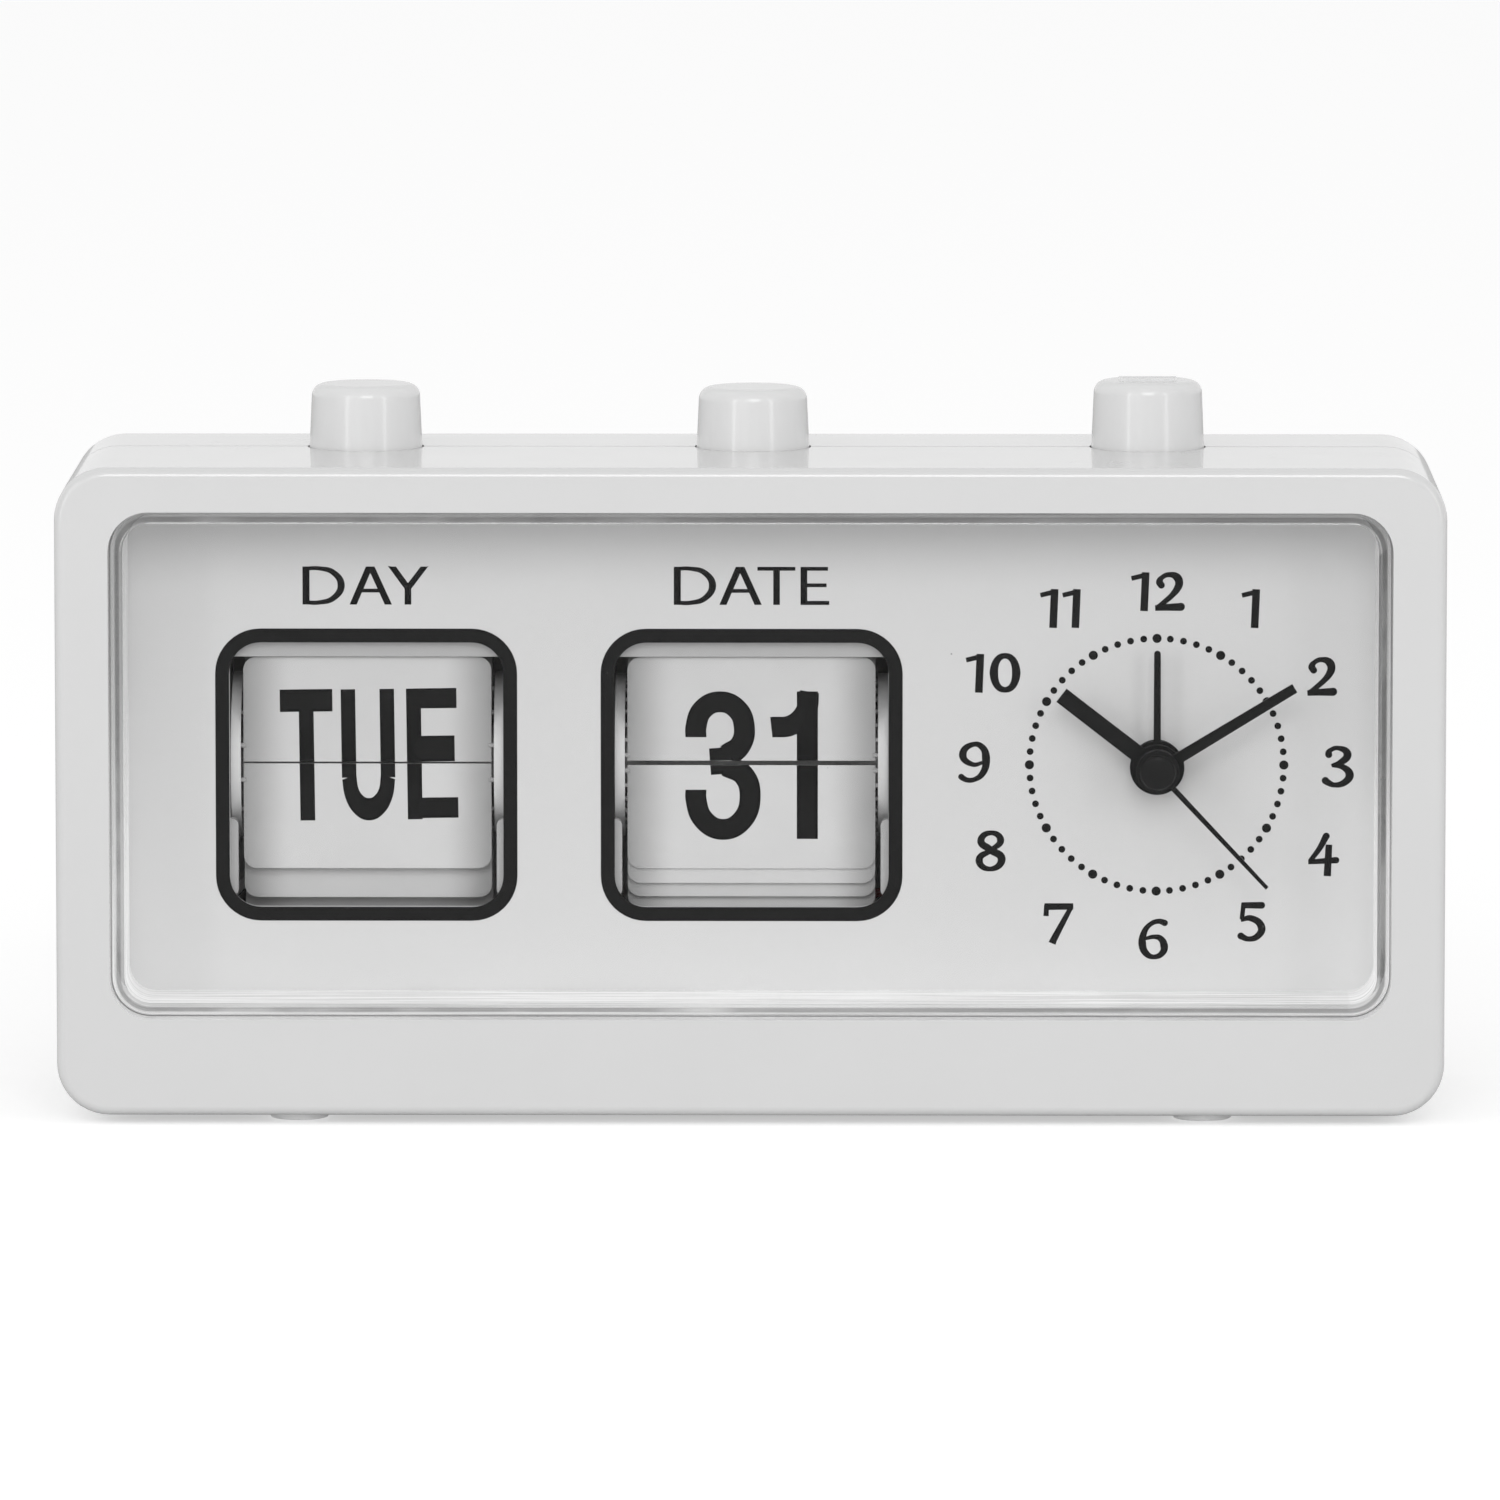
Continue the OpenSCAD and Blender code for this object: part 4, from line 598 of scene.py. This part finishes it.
def pen_strokes(name, strokes, flat):
    """Strokes as thin raised ink in the plane y = 0, flat times as thick as it is wide."""
    clear_selection()
    bpy.ops.curve.primitive_bezier_curve_add(location=(0, 0, 0))
    curve = made(name).data
    curve.dimensions = "3D"
    curve.bevel_depth = PEN * MM
    curve.bevel_resolution = PEN_ROUND
    curve.resolution_u = PEN_ALONG
    curve.use_fill_caps = True
    curve.splines.clear()
    for kind, points in strokes:
        spline = curve.splines.new("BEZIER")
        spline.bezier_points.add(len(points) - 1)
        spline.use_cyclic_u = kind == LOOP
        bend = "VECTOR" if kind == STRAIGHT else "AUTO"
        for point, (x, z, width) in zip(spline.bezier_points, points):
            point.co = metres(x, 0, z)
            point.radius = width
            point.handle_left_type = point.handle_right_type = bend
    bpy.ops.object.convert(target="MESH")
    obj = bpy.context.active_object
    obj.scale = (1, flat, 1)
    settle(obj)
    return obj


def number(text, middle):
    """Strokes of an hour figure about its middle."""
    gap = ONES_GAP if text == "11" else FIGURE_GAP
    tall = max(DIGITS[digit][1] for digit in text)
    wide = sum(DIGITS[digit][0] for digit in text) + gap * (len(text) - 1)
    across = CLOCK_X + middle[0] - wide / 2
    strokes = []
    for digit in text:
        strokes += shifted(DIGITS[digit][2], across, CLOCK_Z + middle[1] - tall / 2)
        across += DIGITS[digit][0] + gap
    return strokes


def print_on_dial():
    hours = []
    for text, middle in HOURS.items():
        hours += number(text, middle)
    words = []
    for letter, across in CAPTIONS:
        words += shifted(CAPITALS[letter], across, CAPTION_Z)
    for name, strokes in (("hour_figures", hours), ("window_captions", words)):
        obj = pen_strokes(name, strokes, DIAL_FLAT)
        if strokes is words:
            cut_at(obj, CAPTION_Z, True)
            cut_at(obj, CAPTION_Z + CAPTION_TALL, False)
        obj.location = metres(0, FACE_Y, 0)
        settle(obj)
        bpy.ops.object.shade_smooth()
        dress(obj, "case", INK, "hand_black")


def spin_copies(count, degrees, centre):
    """Repeats the whole mesh round the dial: so many in all, so far apart."""
    select_mesh()
    bpy.ops.mesh.spin(steps=count - 1, angle=math.radians(degrees * (count - 1)), dupli=True,
                      center=centre, axis=(0, 1, 0))


def dots_round_dial():
    """Minute dots: one of each size is modelled, and spin carries it round."""
    centre = metres(CLOCK_X, FACE_Y, CLOCK_Z)
    rings = []
    for first, count, radius in DOTS:
        clear_selection()
        bpy.ops.mesh.primitive_cylinder_add(
            vertices=DOT_SIDES, radius=radius * MM, depth=DOT_T * MM,
            location=metres(CLOCK_X, FACE_Y, CLOCK_Z + DOT_RING), rotation=(math.pi / 2, 0, 0))
        obj = bpy.context.active_object
        settle(obj)
        open_mesh(obj)
        bpy.ops.mesh.bevel(offset=DOT_EDGE * MM, segments=1, affect="EDGES")
        select_mesh()
        if first:
            bpy.ops.transform.rotate(value=math.radians(MINUTE_TURN * first), orient_axis="Y",
                                     center_override=centre)
            spin_copies(count, MINUTE_TURN, centre)
        spin_copies(HOUR_COUNT, HOUR_TURN, centre)
        close_mesh()
        rings.append(obj)
    dress(join("minute_dots", rings), "case", INK, "hand_black")


def window_border(name, x):
    """A printed line round a calendar window."""
    clear_selection()
    bpy.ops.mesh.primitive_plane_add(size=1, location=metres(x, FACE_Y, BORDER_Z),
                                     rotation=(math.pi / 2, 0, 0))
    obj = made(name)
    obj.scale = (*metres(BORDER_WIDE, BORDER_TALL), 1)
    settle(obj)
    open_mesh(obj)
    bpy.ops.mesh.bevel(offset=BORDER_CORNER * MM, offset_type="OFFSET", segments=BORDER_STEPS,
                       affect="VERTICES")
    select_mesh()
    bpy.ops.mesh.inset(thickness=BORDER_LINE * MM, depth=0)
    bpy.ops.mesh.delete(type="FACE")
    close_mesh()
    thick = obj.modifiers.new("ink", "SOLIDIFY")
    thick.thickness = BORDER_T * MM
    thick.offset = 0
    bpy.ops.object.modifier_apply(modifier=thick.name)
    dress(obj, "case", INK, "hand_black")


def card_print(window, now, following, split, step, flat):
    """The value shown, on the standing card and the fallen one, and the next value.

    The next value's upper half is on the card behind, and its lower half is on the back of
    the standing card, where it shows when that card falls.
    """
    front = CARD_Y - CARD_T / 2
    flap, drum = f"{window}_flap", f"{window}_drum"
    plan = ((f"{window}_shown_upper", now, True, flap),
            (f"{window}_shown_lower", now, False, drum),
            (f"{window}_next_upper", following, True, drum),
            (f"{window}_next_lower", following, False, flap))
    for name, (strokes, stretch, at, tilt), above, body in plan:
        obj = pen_strokes(name, strokes, flat)
        obj.scale = (1, 1, stretch)
        settle(obj)
        obj.rotation_euler = (0, math.radians(-tilt), 0)
        obj.location = metres(at[0], front, at[1])
        settle(obj)
        cut_at(obj, DRUM_Z + split if above else DRUM_Z - split, above)
        if name.endswith("next_upper"):
            turn_about(obj, -step, DRUM_Y, DRUM_Z)
        if name.endswith("next_lower"):
            turn_about(obj, 180, CARD_Y, DRUM_Z)
        take(obj)
        bpy.ops.object.shade_smooth()
        dress(obj, body, INK, "hand_black")


# Wound springs and soft leads, in place of the source's facets

COIL_SIDES, COIL_STEPS = 10, 28
WELD = 0.001
# Button, middle across, seat, turns, and the share of its height that a pressed spring keeps.
RETURN_SPRINGS = (("day", -50.7, 66.965, 9, 0.906), ("date", 0.1, 66.965, 9, 0.906),
                  ("alarm", 51.9, 77.3, 4, 0.761))
SPRING_Y, SPRING_TOP = 6, 83.7
SPRING_R, SPRING_WIRE = 3.9, 0.3
# The cell's contact: its coil, and the middle and size of its leaf and of the tab on it.
CONTACT_R, CONTACT_WIRE, CONTACT_LONG, CONTACT_TURNS = 4, 0.35, 4.875, 3
CONTACT_AT = (-33.275, 15, 12.2)
LEAF_X, LEAF_T, LEAF_EDGE = -33.65, 0.4, 0.1
LEAF = ((15, 12.7, 12.2, 13.2), (20, 18, 2.4, 11.6))
# Routes of the leads along the middle of the wire.
LEADS = {
    "plus_lead": [(22.85, 14, 22.9), (24.85, 14, 22.9), (29.5, 14, 24.5), (31, 12.5, 24.5),
                  (31, 5.7, 24.5)],
    "minus_lead": [(-33.45, 20, 22.85), (20, 20, 22.85), (24, 19.4, 22.85), (33.5, 15.2, 24.5),
                   (35, 13, 24.5), (35, 5.7, 24.5)],
    "sounder_lead": [(-52, 18.3, 17), (-52, 16.7, 17), (-50, 15.9, 18.4), (-38, 17.5, 23.45),
                     (-30, 17.5, 22.85), (8, 17.5, 22.85), (22, 17.5, 26.5), (37, 15, 27),
                     (39, 13, 27), (39, 5.7, 27)],
}
LEAD_R, LEAD_ROUND = 0.6, 3
# How far from a corner a lead starts to bend, the most of a straight that a bend may take,
# and the steps in a bend.
BEND_REACH, BEND_SHARE, BEND_STEPS = 2.5, 0.45, 6


def coil_spring(name, radius, wire, height, turns):
    """A round-wire coil that stands on z = 0 about the origin, its ends closed."""
    clear_selection()
    bpy.ops.mesh.primitive_circle_add(vertices=COIL_SIDES, radius=wire * MM,
                                      location=metres(radius, 0, 0), rotation=(math.pi / 2, 0, 0))
    obj = made(name)
    settle(obj)
    wind = obj.modifiers.new("wind", "SCREW")
    wind.axis = "Z"
    wind.angle = math.tau
    wind.screw_offset = height / turns * MM
    wind.iterations = turns
    wind.steps = wind.render_steps = COIL_STEPS
    wind.use_merge_vertices = False
    bpy.ops.object.modifier_apply(modifier=wind.name)
    open_mesh(obj)
    bpy.ops.mesh.remove_doubles(threshold=WELD * MM)
    bpy.ops.mesh.select_all(action="DESELECT")
    bpy.ops.mesh.select_non_manifold()
    bpy.ops.mesh.edge_face_add()
    select_mesh()
    bpy.ops.mesh.normals_make_consistent(inside=False)
    close_mesh()
    bpy.ops.object.shade_smooth_by_angle(angle=math.radians(50))
    return obj


def return_springs():
    for button, x, seat, turns, keep in RETURN_SPRINGS:
        foot = seat + SPRING_WIRE
        obj = coil_spring(f"{button}_return_coil", SPRING_R, SPRING_WIRE, SPRING_TOP - foot, turns)
        obj.location = metres(x, SPRING_Y, foot)
        settle(obj)
        dress(obj, "case", FINISHES["steel"], "steel", f"{button}_spring")
        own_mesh(obj)


def contact_spring():
    """The cell's end contact: a coil on a flat leaf with a tab."""
    coil = coil_spring("contact_coil", CONTACT_R, CONTACT_WIRE, CONTACT_LONG, CONTACT_TURNS)
    coil.rotation_euler = (0, math.pi / 2, 0)
    coil.location = metres(*CONTACT_AT)
    settle(coil)
    pieces = [coil]
    for y, z, wide, tall in LEAF:
        clear_selection()
        bpy.ops.mesh.primitive_cube_add(size=1, location=metres(LEAF_X, y, z))
        obj = bpy.context.active_object
        obj.scale = metres(LEAF_T, wide, tall)
        settle(obj)
        open_mesh(obj)
        bpy.ops.mesh.bevel(offset=LEAF_EDGE * MM, segments=2, affect="EDGES")
        close_mesh()
        pieces.append(obj)
    contact = join("contact_coil_and_leaf", pieces)
    dress(contact, "case", FINISHES["steel"], "steel", "contact_spring")


def eased(route):
    """A route with each corner rounded."""
    points = [Vector(p) for p in route]
    path = [points[0]]
    for before, corner, after in zip(points, points[1:], points[2:]):
        near = min(BEND_REACH, BEND_SHARE * (corner - before).length,
                   BEND_SHARE * (after - corner).length)
        start = corner + (before - corner).normalized() * near
        end = corner + (after - corner).normalized() * near
        for i in range(BEND_STEPS + 1):
            t = i / BEND_STEPS
            path.append(start * (1 - t) ** 2 + corner * 2 * t * (1 - t) + end * t ** 2)
    return path + [points[-1]]


def lead(name):
    clear_selection()
    bpy.ops.curve.primitive_nurbs_path_add(location=(0, 0, 0))
    curve = made(name).data
    curve.splines.clear()
    path = eased(LEADS[name])
    spline = curve.splines.new("POLY")
    spline.points.add(len(path) - 1)
    for point, place in zip(spline.points, path):
        point.co = (*(place * MM), 1)
    curve.bevel_depth = LEAD_R * MM
    curve.bevel_resolution = LEAD_ROUND
    curve.use_fill_caps = True
    bpy.ops.object.convert(target="MESH")
    bpy.ops.object.shade_smooth_by_angle(angle=math.radians(40))
    return bpy.context.active_object


def leads():
    wires = join("battery_wires", [lead("plus_lead"), lead("minus_lead")])
    dress(wires, "case", FINISHES["lead_red"], "lead_red", "battery_leads")
    dress(lead("sounder_lead"), "case", FINISHES["lead_red"], "lead_red", "buzzer_lead")


# Stage, lights and camera, in metres

FLOOR_SIZE = 6
LIGHTS_AIM = (0, 0, 0.045)
# Name, place, width, height and power of each light.
LIGHTS = (("key_light", (0.06, -1.6, 0.75), 0.7, 0.7, 6),
          ("fill_light", (-0.75, -1.6, 0.4), 1.0, 1.0, 2),
          ("strip_light", (-0.84, -1.0, 0.35), 0.16, 0.9, 1.2),
          ("strip_light", (0.84, -1.0, 0.35), 0.16, 0.9, 1.2))
CAMERA_AT = (0.01438, -1.78185, 0.25290)
CAMERA_DOWN, CAMERA_LEFT = 6.618, 0.470      # degrees
CAMERA_LENS, CAMERA_SENSOR = 328.2, 36       # millimetres


def floor():
    clear_selection()
    bpy.ops.mesh.primitive_plane_add(size=FLOOR_SIZE, location=(0, 0, 0))
    obj = made("floor")
    finish = Finish("floor_paper", {"Base Color": grey(0.72), "Roughness": 0.9,
                                    "Specular IOR Level": 0.0, "Emission Strength": 0.5})
    rays = finish.node("ShaderNodeLightPath", out="Is Camera Ray")
    finish.feed("Emission Color", finish.blend(rays, grey(0.0), grey(1.0)))
    obj.data.materials.append(finish.owner)


def backdrop():
    """A white ground, bright in reflections from behind, with a soft grey room round the part."""
    world = bpy.data.worlds.new("studio")
    bpy.context.scene.world = world
    finish = Finish("studio", owner=world)
    shader = world.node_tree.nodes["Background"]
    shader.inputs["Color"].default_value = grey(1.0)
    rays, glossy, passing = (finish.node("ShaderNodeLightPath", out=f"Is {kind} Ray")
                             for kind in ("Camera", "Glossy", "Transmission"))
    heading = finish.node("ShaderNodeTexCoord", out="Generated")
    behind = heading.part("Y").rise(-0.2, 0.3)
    beside = abs(heading.part("X")).rise(0.4, 0.9)
    above = heading.part("Z").rise(0.2, 0.9)
    seen = glossy.most(passing) * (0.25 + 0.66 * behind)
    room = 0.84 - 0.3 * behind - 0.24 * above + 0.38 * beside
    soft = (1 - rays.most(glossy).most(passing)) * room
    finish.join(rays.most(seen).most(soft), shader.inputs["Strength"])


def area_light(name, place, wide, tall, power):
    clear_selection()
    bpy.ops.object.light_add(type="AREA", location=place)
    obj = made(name)
    obj.data.shape = "RECTANGLE"
    obj.data.size, obj.data.size_y, obj.data.energy = wide, tall, power
    heading = Vector(LIGHTS_AIM) - obj.location
    obj.rotation_euler = heading.to_track_quat("-Z", "Y").to_euler()


def camera():
    clear_selection()
    bpy.ops.object.camera_add(
        location=CAMERA_AT,
        rotation=(math.radians(90 - CAMERA_DOWN), 0, math.radians(CAMERA_LEFT)))
    obj = made("camera")
    obj.data.lens = CAMERA_LENS
    obj.data.sensor_width = CAMERA_SENSOR
    bpy.context.scene.camera = obj


print_on_dial()
dots_round_dial()
for border, middle in BORDERS.items():
    window_border(border, middle)
card_print("day", (TUE, WORD_STRETCH, WORD_AT, WORD_TILT), (WED, WORD_STRETCH, WORD_AT, 0),
           DAY_SPLIT, DAY_STEP, DAY_FLAT)
card_print("date", (THREE + ONE, 1, (0, 0), 0), (shifted(ONE, ONE_ALONE, 0), 1, (0, 0), 0),
           DATE_SPLIT, DATE_STEP, DATE_FLAT)
return_springs()
contact_spring()
leads()
floor()
backdrop()
for light in LIGHTS:
    area_light(*light)
camera()
bpy.context.scene.view_settings.view_transform = "Standard"
